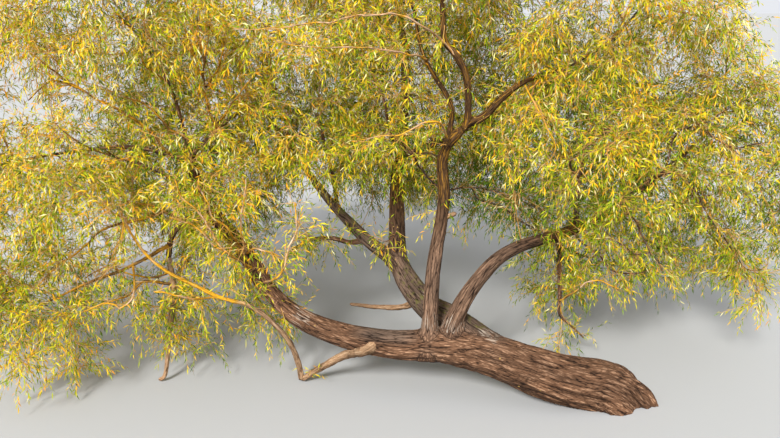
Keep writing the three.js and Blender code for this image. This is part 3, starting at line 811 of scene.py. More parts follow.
def knotty(item, seed):
    """A thin limb's radius at each sample, with long knots and hollows and short ones."""
    long, short = KNOT_LENGTHS
    swells = np.array([noise.noise(Vector((s / long, seed, 0))) for s in item.run])
    knots = np.array([noise.noise(Vector((s / short, seed, 4))) for s in item.run])
    return item.radius * (1 + KNOT_HEIGHT * swells + SHORT_KNOT * KNOT_HEIGHT * knots)


def thin_limbs_piece(name, items, sides=12, grey=0.5):
    """Thin limbs as one mesh of tubes, with the same fields as the bark."""
    parts, coords, ridge, old = [], [], [], []
    for k, item in enumerate(items):
        radius = knotty(item, 2.0 + k)
        radius[-1] *= THIN_TIP
        verts, faces = tube_arrays(item.centre, item.normal, item.binormal, radius, sides)
        offset = verts.reshape(len(item.centre), sides, 3) - item.centre[:, None, :]
        across = (offset * item.normal[:, None, :]).sum(-1) + LIMBS_APART * k
        aside = (offset * item.binormal[:, None, :]).sum(-1)
        along = np.broadcast_to(item.run[:, None], offset.shape[:2])
        place = np.stack([across, aside, along], -1).reshape(-1, 3)
        relief = plates(place, *THIN_PLATE_SIZE, 1.3)
        out = unit(offset.reshape(-1, 3))
        height = np.repeat(radius, sides) * THIN_PLATE_HEIGHT * (relief - 0.5)
        verts = verts + out * height[:, None]
        verts[:, 2] = np.maximum(verts[:, 2], LIES_AT)
        parts.append((verts, faces))
        coords.append(place)
        ridge.append(relief)
        patches = lumps(place, OLD_PATCH_SIZE, 4.4) + OLD_SHARE[item.limb.look]
        old.append(smoothstep(patches, *OLD_PATCH_EDGE))
    piece = mesh_object(name, *joined(parts))
    ridge, grey = np.concatenate(ridge), grey * np.concatenate(old)
    set_bark_fields(piece.data, np.vstack(coords), ridge=ridge, moss=THIN_MOSS, grey=grey, worn=0, lichen=0)
    piece.data.shade_smooth()
    return piece


def rooted(item, wood):
    """The branch drawn back to the nearest wood behind it, where it starts apart from all of it."""
    start, after = np.array(item.path[:2], float)
    gap = np.linalg.norm(wood - start, axis=1)
    if gap.min() < TOUCHES:
        return item
    ahead = (wood - start) @ unit(after - start) / gap
    return item._replace(path=[tuple(wood[np.argmin(gap * (BEHIND_FIRST + ahead))]), *item.path])


def wound(item, limbs):
    """The sampled branch with small bends. One of those in front swings out towards the front."""
    gap = np.array([limbs.find(c)[2] for c in item.centre])[:, None]
    bends = np.array([noise.noise_vector(Vector(c) / BEND_LENGTH) for c in item.centre])
    centre = item.centre + BEND * smoothstep(gap, *BENDS_BETWEEN) * bends
    if item.limb.look in IN_FRONT:
        to_front = unit(np.array(CAMERA_PLACE) - centre)
        centre = centre + BROUGHT_FORWARD * smoothstep(gap, 0, FORWARD_WITHIN) * to_front
    tangent, normal, binormal = frames_along(centre)
    return item._replace(centre=centre, tangent=tangent, normal=normal, binormal=binormal)


def thin_branches(inner):
    """The thin branches, each joined to a limb or to a branch before it in the same layer."""
    limb_wood = np.vstack([item.centre for item in [*SAMPLED.values(), *inner]])
    limbs = tree_of(limb_wood)
    wood = {True: limb_wood, False: limb_wood}
    made = []
    for item in THIN_BRANCHES:
        in_front = item.look in IN_FRONT
        straight = sampled(rooted(item, wood[in_front]))
        wood[in_front] = np.vstack([wood[in_front], straight.centre])
        made.append(wound(straight, limbs))
    return made


def side_twigs(item):
    """Short twigs on all sides of a thin branch: for each its points and their radii."""
    runs = []
    for _ in range(int(item.run[-1] / SIDE_TWIG_EVERY)):
        at = int(rng.uniform(*SIDE_TWIGS_ON) * len(item.centre))
        turn = rng.uniform(0, 2 * math.pi)
        out = math.cos(turn) * item.normal[at] + math.sin(turn) * item.binormal[at]
        way = unit(item.tangent[at] + SIDE_TWIG_OUT * out)
        step = rng.uniform(*SIDE_TWIG_LENGTH) / SIDE_TWIG_STEPS
        points = [item.centre[at]]
        for _ in range(SIDE_TWIG_STEPS):
            bend = SIDE_TWIG_BENDS * item.tangent[at]
            way = unit(way + bend + SIDE_TWIG_WANDERS * rng.normal(size=3))
            points.append(points[-1] + step * way)
        thick, thin = SIDE_TWIG_RADIUS
        thick = min(SIDE_TWIG_SHARE * item.radius[at], thick)
        runs.append((np.array(points), np.linspace(thick, thin, len(points))))
    return runs


# Growth

MASS_NAMES = [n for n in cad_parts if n.startswith("crown")]
# Thin sprays beyond the masses: middle and reach of each
LOOSE_SPRAYS = [
    ((-3.74, 0.24, 1.62), (0.46, 0.22, 0.46)),
    ((-3.98, 0.24, 2.0), (0.4, 0.28, 0.4)),
    ((-3.36, 0.85, 1.6), (0.24, 0.3, 0.42)),
    ((-3.03, 1.35, 1.46), (0.42, 0.2, 0.22)),
    ((-3.75, 0.75, 0.72), (0.5, 0.26, 0.36)),
    ((-1.0, 1.5, 1.62), (0.42, 0.3, 0.22)),
    ((-4.58, 0.36, 0.86), (0.48, 0.26, 0.34)),
    ((-6.45, 1.0, 3.15), (0.5, 0.5, 0.42)),
    ((-4.58, 0.42, 0.58), (0.34, 0.22, 0.2)),
]
# Places where the twigs stand apart: middle, reach, and the share of them that stays
OPEN_PLACES = [
    ((-4.3, 0.6, 0.9), (1.3, 0.8, 0.9), 0.6),
    ((-3.8, 0.2, 1.7), (0.75, 0.5, 0.75), 0.55),
    ((-0.1, 1.3, 0.8), (1.1, 0.8, 0.75), 0.7),
    ((-3.2, 1.2, 1.5), (0.6, 0.6, 0.5), 0.6),
    ((-1.05, 0.5, 2.1), (0.6, 0.7, 0.42), 0.45),
    ((-6.0, 1.0, 3.25), (0.6, 1.6, 0.3), 0.3),
]
# Where the leaves take darker, greener tints as painted shade of the crown: middle, reach, and how much less
# ripe
PAINTED_SHADE_PLACES = [((-1.1, 1.2, 2.02), (0.75, 1.6, 0.52), 0.5)]
# Short shoots that stand on the limbs themselves: the share of the limb that stays bare, and how many
LIMB_SHOOTS = {
    "left_bough_upper": (0.0, 70),
    "left_bough_lower": (0.82, 12),
    "middle_bough": (0.5, 16),
    "right_bough": (0.6, 36),
    "back_upright_bough": (0.3, 20),
    "back_left_bough": (0.35, 24),
    "back_left_side_branch": (0.25, 36),
    "broken_branch_falling": (0.72, 5),
    "broken_branch_arching": (0.4, 14),
    "hanging_limb_upper": (0.3, 26),
    "hanging_limb_lower": (0.1, 22),
    "middle_right_limb": (0.3, 16),
    "middle_left_limb": (0.2, 20),
    "middle_back_limb": (0.2, 20),
}


def faces_of(mesh):
    return [tuple(p.vertices) for p in mesh.polygons]


def ball_polygons(middle, reach, rings=7, sides=12):
    """An ellipsoid as a closed tube of rings from pole to pole."""
    polar = np.linspace(POLE, math.pi - POLE, rings)
    height = -np.cos(polar)[:, None] * UP
    straight = np.repeat([[1.0, 0, 0]], rings, 0)
    verts, faces = tube_arrays(height, straight, np.repeat([[0, 1.0, 0]], rings, 0), np.sin(polar), sides)
    return np.array(middle) + verts * np.array(reach), faces


def crown_skin():
    """One closed skin round all the masses and the loose sprays, and the corners of its box."""
    parts = [ball_polygons(*spray) for spray in LOOSE_SPRAYS]
    for name in MASS_NAMES:
        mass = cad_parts[name].data
        verts = mesh_vectors(mass, "co")
        parts.append((verts + SKIN_OVERLAP * unit(verts - verts.mean(0)), faces_of(mass)))
    mesh, verts = voxel_union(parts, SKIN_VOXEL)
    tree = BVHTree.FromPolygons(verts.tolist(), faces_of(mesh))
    bpy.data.meshes.remove(mesh)
    return tree, verts.min(0), verts.max(0)


def depth_inside(skin, points):
    """How deep each point lies inside the skin, negative outside it."""
    depth = np.empty(len(points))
    for i, p in enumerate(points):
        near, normal, _, gap = skin.find_nearest(Vector(p))
        depth[i] = gap if (Vector(p) - near).dot(normal) < 0 else -gap
    return depth


def noise_at(points, lumps_per_metre):
    return np.array([noise.noise(Vector(p) * lumps_per_metre) for p in points])


def growth_targets(skin, low, high):
    """Points spread through the crown, thinned in its core and where it is open."""
    count = int(np.prod(high - low) * TARGETS_PER_M3)
    points = low + (high - low) * rng.random((count, 3))
    depth = depth_inside(skin, points)
    edge = np.maximum(EDGE_WAVE * noise_at(points, EDGE_LUMPS), -TARGETS_OUTSIDE)
    chance = np.where(depth < CORE_DEPTH, 1, CORE_SHARE) * (depth > edge)
    for middle, reach, share in OPEN_PLACES:
        inside = (((points - middle) / reach) ** 2).sum(1) < 1
        chance[inside] *= share
    return points[rng.random(count) < chance]


# A branch node: its place, its parent's number, its way of growth, on a limb the limb's radius,
# and whether branches may grow from it
Node = namedtuple("Node", "place parent way fixed sprouts", defaults=(0.0, True))


def limb_nodes(skin, inner):
    """The limbs' centrelines as branch nodes, which sprout only inside the foliage."""
    nodes = []
    every = round(GROWTH_STEP / STEP_ALONG)
    for item in [TRUNK, *SAMPLED.values(), *inner]:
        centre = item.centre[::every]
        gaps = [np.linalg.norm(node.place - centre[0]) for node in nodes]
        parent = int(np.argmin(gaps)) if nodes else -1
        inside = depth_inside(skin, centre) > -SPROUTS_OUTSIDE
        inside &= np.arange(len(centre))[::-1] % SPROUTS_EVERY == 0
        for c, t, r, sprouts in zip(centre, item.tangent[::every], item.radius[::every], inside):
            nodes.append(Node(c, parent, t, float(r), sprouts))
            parent = len(nodes) - 1
    return nodes


def colonise(nodes, targets):
    """Each target pulls the nearest node, which grows a step towards all that pull it."""
    nearest = np.full(len(targets), -1)
    gap = np.full(len(targets), np.inf)
    alive = np.ones(len(targets), bool)
    children = {}
    fresh = [i for i, node in enumerate(nodes) if node.sprouts]
    for _ in range(GROWTH_ROUNDS):
        tree = tree_of([nodes[i].place for i in fresh], fresh)
        for t in np.flatnonzero(alive):
            _, i, d = tree.find(targets[t])
            if d < gap[t]:
                gap[t] = d
                nearest[t] = i
        alive &= gap > GROWTH_KILL
        pulls = {}
        for t in np.flatnonzero(alive):
            pulls.setdefault(int(nearest[t]), []).append(t)
        fresh = []
        for i, pulled in pulls.items():
            place = nodes[i].place
            pull = unit(targets[pulled] - place).sum(0)
            way = unit(pull + KEEPS_WAY * nodes[i].way + WANDERS * rng.normal(size=3))
            new = place + GROWTH_STEP * way
            siblings = children.setdefault(i, [])
            if any(np.linalg.norm(new - s) < SIBLINGS_APART * GROWTH_STEP for s in siblings):
                alive[pulled[int(np.argmax(gap[pulled]))]] = False
                continue
            siblings.append(new)
            fresh.append(len(nodes))
            nodes.append(Node(new, i, way))
        if not fresh:
            break


def branch_radii(parent, fixed):
    """A branch is as thick as its twigs together, by the pipe rule. A limb keeps its radius."""
    total = np.zeros(len(parent))
    radius = np.zeros(len(parent))
    for i in range(len(parent) - 1, -1, -1):
        radius[i] = fixed[i] or max(TIP_RADIUS, total[i] ** (1 / PIPE_POWER))
        if parent[i] >= 0:
            total[parent[i]] += radius[i] ** PIPE_POWER
    for i, p in enumerate(parent):
        if not fixed[i] and p >= 0:
            radius[i] = min(radius[i], SIDE_BRANCH * radius[p] if fixed[p] else radius[p])
    return radius


def branch_chains(parent, fixed, radius):
    """The grown branches as runs of nodes, each from its parent's node to its tip, and each node's run."""
    kids = {}
    for i, p in enumerate(parent):
        if p >= 0 and not fixed[i]:
            kids.setdefault(int(p), []).append(i)
    leader = {p: max(c, key=lambda i: radius[i]) for p, c in kids.items()}
    chains = []
    chain_of = np.full(len(parent), -1)
    for i, p in enumerate(parent):
        if fixed[i] or (not fixed[p] and leader[int(p)] == i):
            continue
        run = [int(p), i]
        while run[-1] in leader:
            run.append(leader[run[-1]])
        chain_of[run[1:]] = len(chains)
        chains.append(run)
    return chains, chain_of


def relaxed(points, rounds=2):
    """The points of a run drawn towards their neighbours, its ends kept."""
    points = points.copy()
    for _ in range(rounds):
        points[1:-1] = 0.5 * points[1:-1] + 0.25 * (points[:-2] + points[2:])
    return points


def twig_arrays(runs, sides):
    """Tubes with a point at each end of every run, as vertices and triangles."""
    verts, tris, base = [], [], 0
    side = np.arange(sides)
    after = (side + 1) % sides
    for points, radius in runs:
        _, normal, binormal = frames_along(points)
        rings = len(points) - 1
        out = round_about(normal, binormal, sides)
        body = (points[:-1, None] + out[:-1] * radius[:-1, None, None]).reshape(-1, 3)
        verts += [points[:1] - ROUND_END * radius[0] * unit(points[1] - points[0]), body, points[-1:]]
        first, tip = base, base + 1 + rings * sides
        tris.append(np.column_stack([np.full(sides, first), base + 1 + after, base + 1 + side]))
        for k in range(rings - 1):
            a = base + 1 + k * sides
            tris.append(np.column_stack([a + side, a + after, a + sides + after]))
            tris.append(np.column_stack([a + side, a + sides + after, a + sides + side]))
        a = base + 1 + (rings - 1) * sides
        tris.append(np.column_stack([a + side, a + after, np.full(sides, tip)]))
        base = tip + 1
    return np.vstack(verts), np.vstack(tris)


def triangle_pieces(name, verts, tris):
    """Meshes of the triangles, each under the limit."""
    pieces = []
    for k in range(0, len(tris), PIECE_TRIANGLES):
        some = tris[k : k + PIECE_TRIANGLES]
        used, corners = np.unique(some, return_inverse=True)
        label = name if len(tris) <= PIECE_TRIANGLES else f"{name}_{len(pieces) + 1}"
        pieces.append(triangle_object(label, verts[used], corners.reshape(-1, 3)))
    return pieces


# Shoots and leaves

# points: a row of them for each shoot, count: how many steps of its row it has, spray: its number
Shoots = namedtuple("Shoots", "points count spray")
SIDES = np.array(cad_box[1]) - np.array(cad_box[0])
ROOM_LOW = np.array([*(np.array(cad_box[0]) - ROOM * SIDES)[:2], CLEAR_OF_GROUND])
ROOM_HIGH = np.array(cad_box[1]) + ROOM * SIDES


def in_room(points):
    return ((points > ROOM_LOW) & (points < ROOM_HIGH)).all(-1)


def grow_shoots(starts, ways, sprays, length, skin=None):
    """Shoots that leave their twig, bend over and hang. They end where they would leave the crown."""
    count = len(starts)
    steps = np.ceil(length / SHOOT_STEP).astype(int)
    most = int(steps.max())
    scatter = unit(rng.normal(size=(count, 3)))
    way = unit(SHOOT_ALONG * unit(ways) + SHOOT_ASIDE * scatter + SHOOT_UP * UP)
    droop = rng.uniform(*SHOOT_DROOP, count)[:, None]
    points = np.empty((count, most + 1, 3))
    points[:, 0] = starts
    for k in range(most):
        sag = droop * (DROOP_START + DROOP_GROWS * k) * DOWN
        way = unit(way + sag + SHOOT_WANDERS * rng.normal(size=(count, 3)))
        points[:, k + 1] = points[:, k] + SHOOT_STEP * way
    for k in range(1, most + 1):
        live = np.flatnonzero(steps >= k)
        out = ~in_room(points[live, k])
        if skin:
            out |= depth_inside(skin, points[live, k]) < -OVERHANG
        steps[live[out]] = k - 1
    return Shoots(points, steps, sprays)


def limb_shoot_starts(item, bare, count):
    """Places on a limb's bark, and the ways out from it."""
    at = (len(item.centre) * rng.uniform(bare, 1, count)).astype(int)
    turn = rng.uniform(0, 2 * math.pi, (count, 1))
    out = np.cos(turn) * item.normal[at] + np.sin(turn) * item.binormal[at]
    return item.centre[at] + JUST_INSIDE * item.radius[at, None] * out, out


def shoots_by_length(shoots):
    """The shoots that have the same number of steps together: the number, and their rows."""
    for steps in np.unique(shoots.count):
        if steps > 0:
            yield steps, np.flatnonzero(shoots.count == steps)


def shoot_ribbons(shoots):
    """Each shoot as a thin strip through its start and its tip, and its middle where it is long."""
    verts, tris, base = [], [], 0
    for steps, rows in shoots_by_length(shoots):
        knots = [0, steps] if steps < BENT_FROM else [0, steps // 2, steps]
        line = shoots.points[rows][:, knots]
        along = unit(line[:, -1] - line[:, 0])
        side = unit(np.cross(along, rng.normal(size=along.shape)))
        taper = np.linspace(1, SHOOT_TAPER, len(knots))[None, :, None] * SHOOT_WIDTH / 2
        left = line - side[:, None] * taper
        right = line + side[:, None] * taper
        grid = np.stack([left, right], 2).reshape(len(rows), -1, 3)
        k = np.arange(len(knots) - 1) * 2
        strip = np.concatenate([np.column_stack([k, k + 1, k + 3]), np.column_stack([k, k + 3, k + 2])])
        start = base + np.arange(len(rows)) * grid.shape[1]
        tris.append((strip[None] + start[:, None, None]).reshape(-1, 3))
        verts.append(grid.reshape(-1, 3))
        base += grid.shape[0] * grid.shape[1]
    return np.vstack(verts), np.vstack(tris)


Leaves = namedtuple("Leaves", "base way normal length spray")


def picked_leaves(leaves, which):
    return Leaves(*(field[which] for field in leaves))


def leaves_on(shoots):
    """Leaves set one by one round each shoot, and one at its tip."""
    base, way, spray = [], [], []
    for steps, rows in shoots_by_length(shoots):
        line = shoots.points[rows, : steps + 1]
        number = max(2, int(steps * SHOOT_STEP / LEAF_SPACING))
        at = np.linspace(FIRST_LEAF, 1, number) * steps
        low = np.minimum(at.astype(int), steps - 1)
        share = (at - low)[None, :, None]
        here = line[:, low] * (1 - share) + line[:, low + 1] * share
        along = unit(line[:, low + 1] - line[:, low])
        aside = unit(np.cross(along, CROSSWISE))
        across = np.cross(along, aside)
        turn = LEAF_TURN * np.arange(number)[None, :, None] + rng.uniform(0, FULL_TURN, (len(rows), 1, 1))
        out = np.cos(turn) * aside + np.sin(turn) * across
        spread = rng.uniform(*LEAF_SPREAD, (len(rows), number, 1))
        spread[:, -1] = TIP_SPREAD
        droop = rng.uniform(0, LEAF_DROOP, (len(rows), number, 1)) * DOWN
        base.append(here.reshape(-1, 3))
        way.append(unit(along + spread * out + droop).reshape(-1, 3))
        spray.append(np.repeat(shoots.spray[rows], number))
    base, way, spray = np.vstack(base), np.vstack(way), np.concatenate(spray)
    up = np.array(LEAF_FACES) + LEAF_TILTS * rng.normal(size=base.shape)
    normal = unit(np.cross(way, np.cross(up, way)))
    length = rng.uniform(*LEAF_LENGTH, len(base))
    leaves = Leaves(base, way, normal, length, spray)
    return picked_leaves(leaves, in_room(base + length[:, None] * way))


def in_picture(points):
    """Where the points lie in the picture, in pixels from its middle, and how far away."""
    away = points - np.array(CAMERA_PLACE)
    ahead = np.array([0, math.cos(CAMERA_TILT), -math.sin(CAMERA_TILT)])
    above = np.array([0, math.sin(CAMERA_TILT), math.cos(CAMERA_TILT)])
    far = away @ ahead
    return np.column_stack([away[:, 0], away @ above]) * FOCAL_LENGTH / far[:, None], far


def before_limbs(leaves, shown):
    """Which leaves go as they hang before a limb that shows. shown: its samples, its entry in SHOWN."""
    spots, far = in_picture(leaves.base + 0.5 * leaves.length[:, None] * leaves.way)
    chance = np.zeros(len(spots))
    for item, (share, aside, until) in shown:
        line, depth = in_picture(item.centre[: int(until * len(item.centre))])
        tree = tree_of([(u, v, 0) for u, v in line])
        around = ((spots > line.min(0) - aside) & (spots < line.max(0) + aside)).all(1)
        for i in np.flatnonzero(around & (far < depth.max())):
            _, at, gap = tree.find((*spots[i], 0))
            if gap < aside and far[i] < depth[at]:
                chance[i] = max(chance[i], share)
    return rng.random(len(spots)) < chance


def leaf_arrays(leaves):
    """Two triangles a leaf: a narrow blade, pointed at both ends, bent over across its widest part."""
    side = np.cross(leaves.normal, leaves.way)
    long = leaves.length[:, None]
    wide = long * LEAF_WIDTH / 2
    curl = rng.uniform(*LEAF_CURL, long.shape) * long * leaves.normal
    left, right = (leaves.base + rng.uniform(*part, long.shape) * long * leaves.way + curl for part in WIDEST)
    corners = [leaves.base, left - side * wide, right + side * wide, leaves.base + long * leaves.way - curl]
    verts = np.stack(corners, 1).reshape(-1, 3)
    blade = np.array([[0, 2, 1], [1, 2, 3]])
    tris = blade[None] + len(corners) * np.arange(len(long))[:, None, None]
    return verts, tris.reshape(-1, 3)


# Leaf colours from green to ripe. Each spray gets a place on this scale, and its leaves keep near it.
LEAF_TINTS = [
    ("deep_green", (0.07, 0.13, 0.006)),
    ("green", (0.18, 0.28, 0.01)),
    ("olive", (0.35, 0.4, 0.013)),
    ("yellow_green", (0.62, 0.55, 0.018)),
    ("golden", (0.86, 0.55, 0.022)),
    ("amber", (0.86, 0.37, 0.015)),
]
PALE_TINT = ("pale", (0.76, 0.7, 0.3))
TINT_EDGES = [0.19, 0.36, 0.51, 0.68, 0.9]
PALE_SHARE = (0.02, 0.024)  # at the ground, and how much more with each metre of height
RIPENESS = 0.515  # of a spray in front, in the middle of the tree and no higher than RIPER_ABOVE
MIDDLE = -2.5
RIPER_LESS_SHADED_TO_LEFT = 0.016  # with each metre, as RIPER_LESS_SHADED_UP. Both are partly the leaves' own ripening and partly painted shade: greener and darker to the right and low down, yellower and brighter high up
RIPER_LESS_SHADED_UP = 0.06
RIPER_ABOVE = 3
LEAST_UP = -0.9
# Leaves behind the tree and deep in the crown take greener, darker tints: partly the green that shade leaves
# keep, partly painted shade
GREENER_AND_SHADED_BEHIND = 0.13
BEHIND = (0.9, 2.4)
GREENER_AND_SHADED_INSIDE = 0.22
INSIDE = (0.1, 0.7)
RIPE_PATCHES = 0.1
PATCHES_PER_METRE = 0.9
CHANCE_BY_SPRAY = 0.08
CHANCE_BY_LEAF = 0.25
SHADE_EDGE = (0.7, 1.1)  # of a shaded place's reach


def tint_numbers(leaves, spray_place, depth):
    """Which tint each leaf takes: from its spray's ripeness and a little chance, with painted shade that
    turns leaves low down, to the right, behind, deep inside and in shaded places darker and greener.
    """
    x, y, z = spray_place.T
    # partly painted shade: sprays to the right and low down take greener, darker tints, those high up
    # brighter ones
    ripe = RIPENESS - RIPER_LESS_SHADED_TO_LEFT * (x - MIDDLE) + RIPER_LESS_SHADED_UP * np.maximum(z - RIPER_ABOVE, LEAST_UP)
    # partly painted shade: sprays behind the tree take greener, darker tints
    ripe -= GREENER_AND_SHADED_BEHIND * smoothstep(y, *BEHIND)
    ripe += RIPE_PATCHES * noise_at(spray_place, PATCHES_PER_METRE)
    ripe += rng.normal(0, CHANCE_BY_SPRAY, len(spray_place))
    value = ripe[leaves.spray] + rng.normal(0, CHANCE_BY_LEAF, len(leaves.spray))
    # partly painted shade: leaves deep in the crown take greener, darker tints
    value -= GREENER_AND_SHADED_INSIDE * smoothstep(depth, *INSIDE)
    # painted shade: leaves in the shaded places take darker, greener tints
    for middle, reach, shade in PAINTED_SHADE_PLACES:
        gap = np.linalg.norm((leaves.base - middle) / reach, axis=1)
        value -= shade * (1 - smoothstep(gap, *SHADE_EDGE))
    tint = np.searchsorted(TINT_EDGES, value)
    low, rise = PALE_SHARE
    tint[rng.random(len(tint)) < low + rise * leaves.base[:, 2]] = len(LEAF_TINTS)
    return tint


# Materials

BLACK = (0, 0, 0)
WHITE = (1, 1, 1)
# Furrows in a metre across and along the limb, and how sharp they are
FURROW_NETS = ((34, 4.2, 4.5), (75, 11, 3.5))
WARP = 0.03
SPOTTED = 0.05  # share of the cells that hold a spot of lichen
SPOT_FRAY = 0.35
SPOT_RIM = (0.28, 0.36)  # of a cell
# What lies over a wood's own colours. The two shades are painted shade that darkens them: the crown's shadow
# on the limbs within it, and the shade under a limb.
WORN_WOOD = (0.5, 0.41, 0.32)
MOSS = (0.16, 0.15, 0.03)
PAINTED_CROWN_SHADE = (0.45, 0.38, 0.22)
LICHEN_CRUST = (0.5, 0.24, 0.015)
LICHEN_SPOT = (0.42, 0.26, 0.07)
PAINTED_UNDERSIDE_SHADE = (0.5, 0.46, 0.42)


class Nodes:
    """A material's node tree, built link by link."""

    def __init__(self, name):
        self.material = bpy.data.materials.new(name)
        self.material.use_nodes = True
        self.tree = self.material.node_tree
        self.shader = self.tree.nodes["Principled BSDF"]

    def add(self, kind, settings=None, **inputs):
        node = self.tree.nodes.new(kind)
        for key, value in (settings or {}).items():
            setattr(node, key, value)
        for key, value in inputs.items():
            self.feed(node.inputs[key.replace("_", " ")], value)
        return node

    def feed(self, socket, value):
        if isinstance(value, bpy.types.NodeSocket):
            self.tree.links.new(value, socket)
        else:
            socket.default_value = value

    def ramp(self, factor, stops):
        node = self.add("ShaderNodeValToRGB", Fac=factor)
        band = node.color_ramp
        while len(band.elements) < len(stops):
            band.elements.new(0.5)
        for element, (at, colour) in zip(band.elements, stops):
            element.position = at
            element.color = (*colour, 1)
        return node.outputs["Color"]

    def mask(self, factor, low, high):
        """Nothing up to low, all from high on."""
        return self.ramp(factor, [(low, BLACK), (high, WHITE)])

    def mix(self, factor, a, b, blend="MIX"):
        node = self.add("ShaderNodeMix", {"data_type": "RGBA", "blend_type": blend})
        self.feed(node.inputs["Factor"], factor)
        self.feed(node.inputs[6], a)
        self.feed(node.inputs[7], b if isinstance(b, bpy.types.NodeSocket) else (*b, 1))
        return node.outputs[2]

    def math(self, operation, a, b, clamp=False):
        node = self.add("ShaderNodeMath", {"operation": operation, "use_clamp": clamp})
        self.feed(node.inputs[0], a)
        self.feed(node.inputs[1], b)
        return node.outputs[0]

    def times(self, a, b):
        return self.math("MULTIPLY", a, b)

    def plus(self, a, b):
        return self.math("ADD", a, b)

    def attribute(self, name, output="Fac"):
        return self.add("ShaderNodeAttribute", {"attribute_name": name}).outputs[output]

    def scaled(self, vector, scale):
        return self.add("ShaderNodeMapping", Vector=vector, Scale=scale).outputs["Vector"]

    def grains(self, vector, scale, detail, output="Fac"):
        """Noise with that many lumps in a metre along each axis."""
        node = self.add("ShaderNodeTexNoise", Vector=self.scaled(vector, scale), Scale=1.0, Detail=detail)
        return node.outputs[output]


def furrow_nets(n, place, fine):
    """Two nets of furrows drawn out along the limb, 0 in a furrow, and the place they are drawn on."""
    warp = n.grains(place, (11, 11, 5), 2.0, "Color")
    shifted = n.add("ShaderNodeMix", {"data_type": "VECTOR"})
    n.feed(shifted.inputs[0], WARP)
    n.feed(shifted.inputs[4], place)
    n.feed(shifted.inputs[5], warp)
    drawn = shifted.outputs[1]
    nets = []
    for across, along, sharp in FURROW_NETS:
        scaled = n.scaled(drawn, (across * fine, across * fine, along * fine))
        cells = n.add("ShaderNodeTexVoronoi", {"feature": "DISTANCE_TO_EDGE"}, Vector=scaled, Scale=1.0)
        nets.append(n.math("MULTIPLY", cells.outputs["Distance"], sharp, clamp=True))
    return nets, drawn


def lichen_spots(n, place, grain):
    """Round spots, one in each of a few cells."""
    spots = n.add("ShaderNodeTexVoronoi", Vector=n.scaled(place, (21, 21, 16)), Scale=1.0)
    chance = n.add("ShaderNodeSeparateColor", Color=spots.outputs["Color"]).outputs["Red"]
    ring = n.plus(spots.outputs["Distance"], n.times(grain, SPOT_FRAY))
    whole, gone = SPOT_RIM
    spot = n.ramp(ring, [(whole, WHITE), (gone, BLACK)])
    return n.times(spot, n.math("LESS_THAN", chance, SPOTTED))


def bark_material(name, furrow, body, ridge, old, fine):
    """Furrowed bark, with moss, lichen, pale scuffs and old grey patches where its fields set them, and
    painted shade under the limbs and within the crown.
    """
    n = Nodes(name)
    place = n.attribute("bark_place", "Vector")
    nets, drawn = furrow_nets(n, place, fine)
    grain = n.grains(place, (170, 170, 40), 4.0)
    patches = n.grains(place, (7, 7, 2), 3.0)
    fibres = n.grains(drawn, (95, 95, 7), 3.0)
    clumps = n.grains(place, (26, 26, 15), 5.0)
    normal = n.add("ShaderNodeNewGeometry").outputs["Normal"]
    facing = n.add("ShaderNodeSeparateXYZ", Vector=normal).outputs["Z"]
    height = n.plus(n.times(nets[0], 0.4), n.times(nets[1], 0.28))
    height = n.plus(height, n.times(grain, 0.3))
    height = n.plus(height, n.times(n.attribute("ridge"), 0.25))

    colour = n.ramp(height, [(0.28, furrow), (0.6, body), (0.78, body), (1.0, ridge)])
    colour = n.mix(n.attribute("grey"), colour, n.ramp(height, [(0.3, furrow), (0.66, old)]))
    tone = n.ramp(patches, [(0.34, (0.66, 0.64, 0.62)), (0.62, (1.25, 1.2, 1.15))])
    colour = n.mix(1.0, colour, tone, "MULTIPLY")
    scuffs = n.mask(n.times(fibres, n.attribute("worn")), 0.5, 0.6)
    colour = n.mix(n.times(scuffs, 0.7), colour, WORN_WOOD)
    # painted shade: the limbs within the crown are darkened for its shadow; the lichen crust streaks them
    lichen = n.attribute("lichen")
    colour = n.mix(lichen, colour, n.mix(1.0, colour, PAINTED_CROWN_SHADE, "MULTIPLY"))
    crust = n.mask(n.times(fibres, lichen), 0.53, 0.64)
    colour = n.mix(n.times(crust, 0.6), colour, LICHEN_CRUST)
    # painted shade under the limbs: the surfaces that face down are darkened
    underneath = n.ramp(n.times(facing, -1.0), [(0.0, WHITE), (0.5, PAINTED_UNDERSIDE_SHADE)])
    colour = n.mix(1.0, colour, underneath, "MULTIPLY")
    moss = n.mask(n.times(n.plus(n.times(facing, 0.16), clumps), n.attribute("moss")), 0.46, 0.62)
    colour = n.mix(n.times(moss, 0.75), colour, MOSS)
    colour = n.mix(lichen_spots(n, place, grain), colour, LICHEN_SPOT)

    n.feed(n.shader.inputs["Base Color"], colour)
    n.feed(n.shader.inputs["Roughness"], n.ramp(height, [(0.1, (0.98,) * 3), (0.8, (0.8,) * 3)]))
    n.shader.inputs["Specular IOR Level"].default_value = 0.2
    bump = n.add("ShaderNodeBump", Strength=1.0, Distance=0.014, Height=height)
    n.feed(n.shader.inputs["Normal"], bump.outputs["Normal"])
    return n.material


def plain_material(name, colour, roughness, specular):
    """One plain colour, with a fine procedural roughness and grain."""
    n = Nodes(name)
    n.shader.inputs["Base Color"].default_value = (*colour, 1)
    n.shader.inputs["Specular IOR Level"].default_value = specular
    where = n.add("ShaderNodeTexCoord").outputs["Object"]
    speckle = n.add("ShaderNodeTexNoise", Vector=where, Scale=60.0, Detail=2.0).outputs["Fac"]
    rough = n.ramp(speckle, [(0.3, (roughness - 0.08,) * 3), (0.7, (roughness + 0.08,) * 3)])
    n.feed(n.shader.inputs["Roughness"], rough)
    bump = n.add("ShaderNodeBump", Strength=0.15, Distance=0.002, Height=speckle)
    n.feed(n.shader.inputs["Normal"], bump.outputs["Normal"])
    return n.material


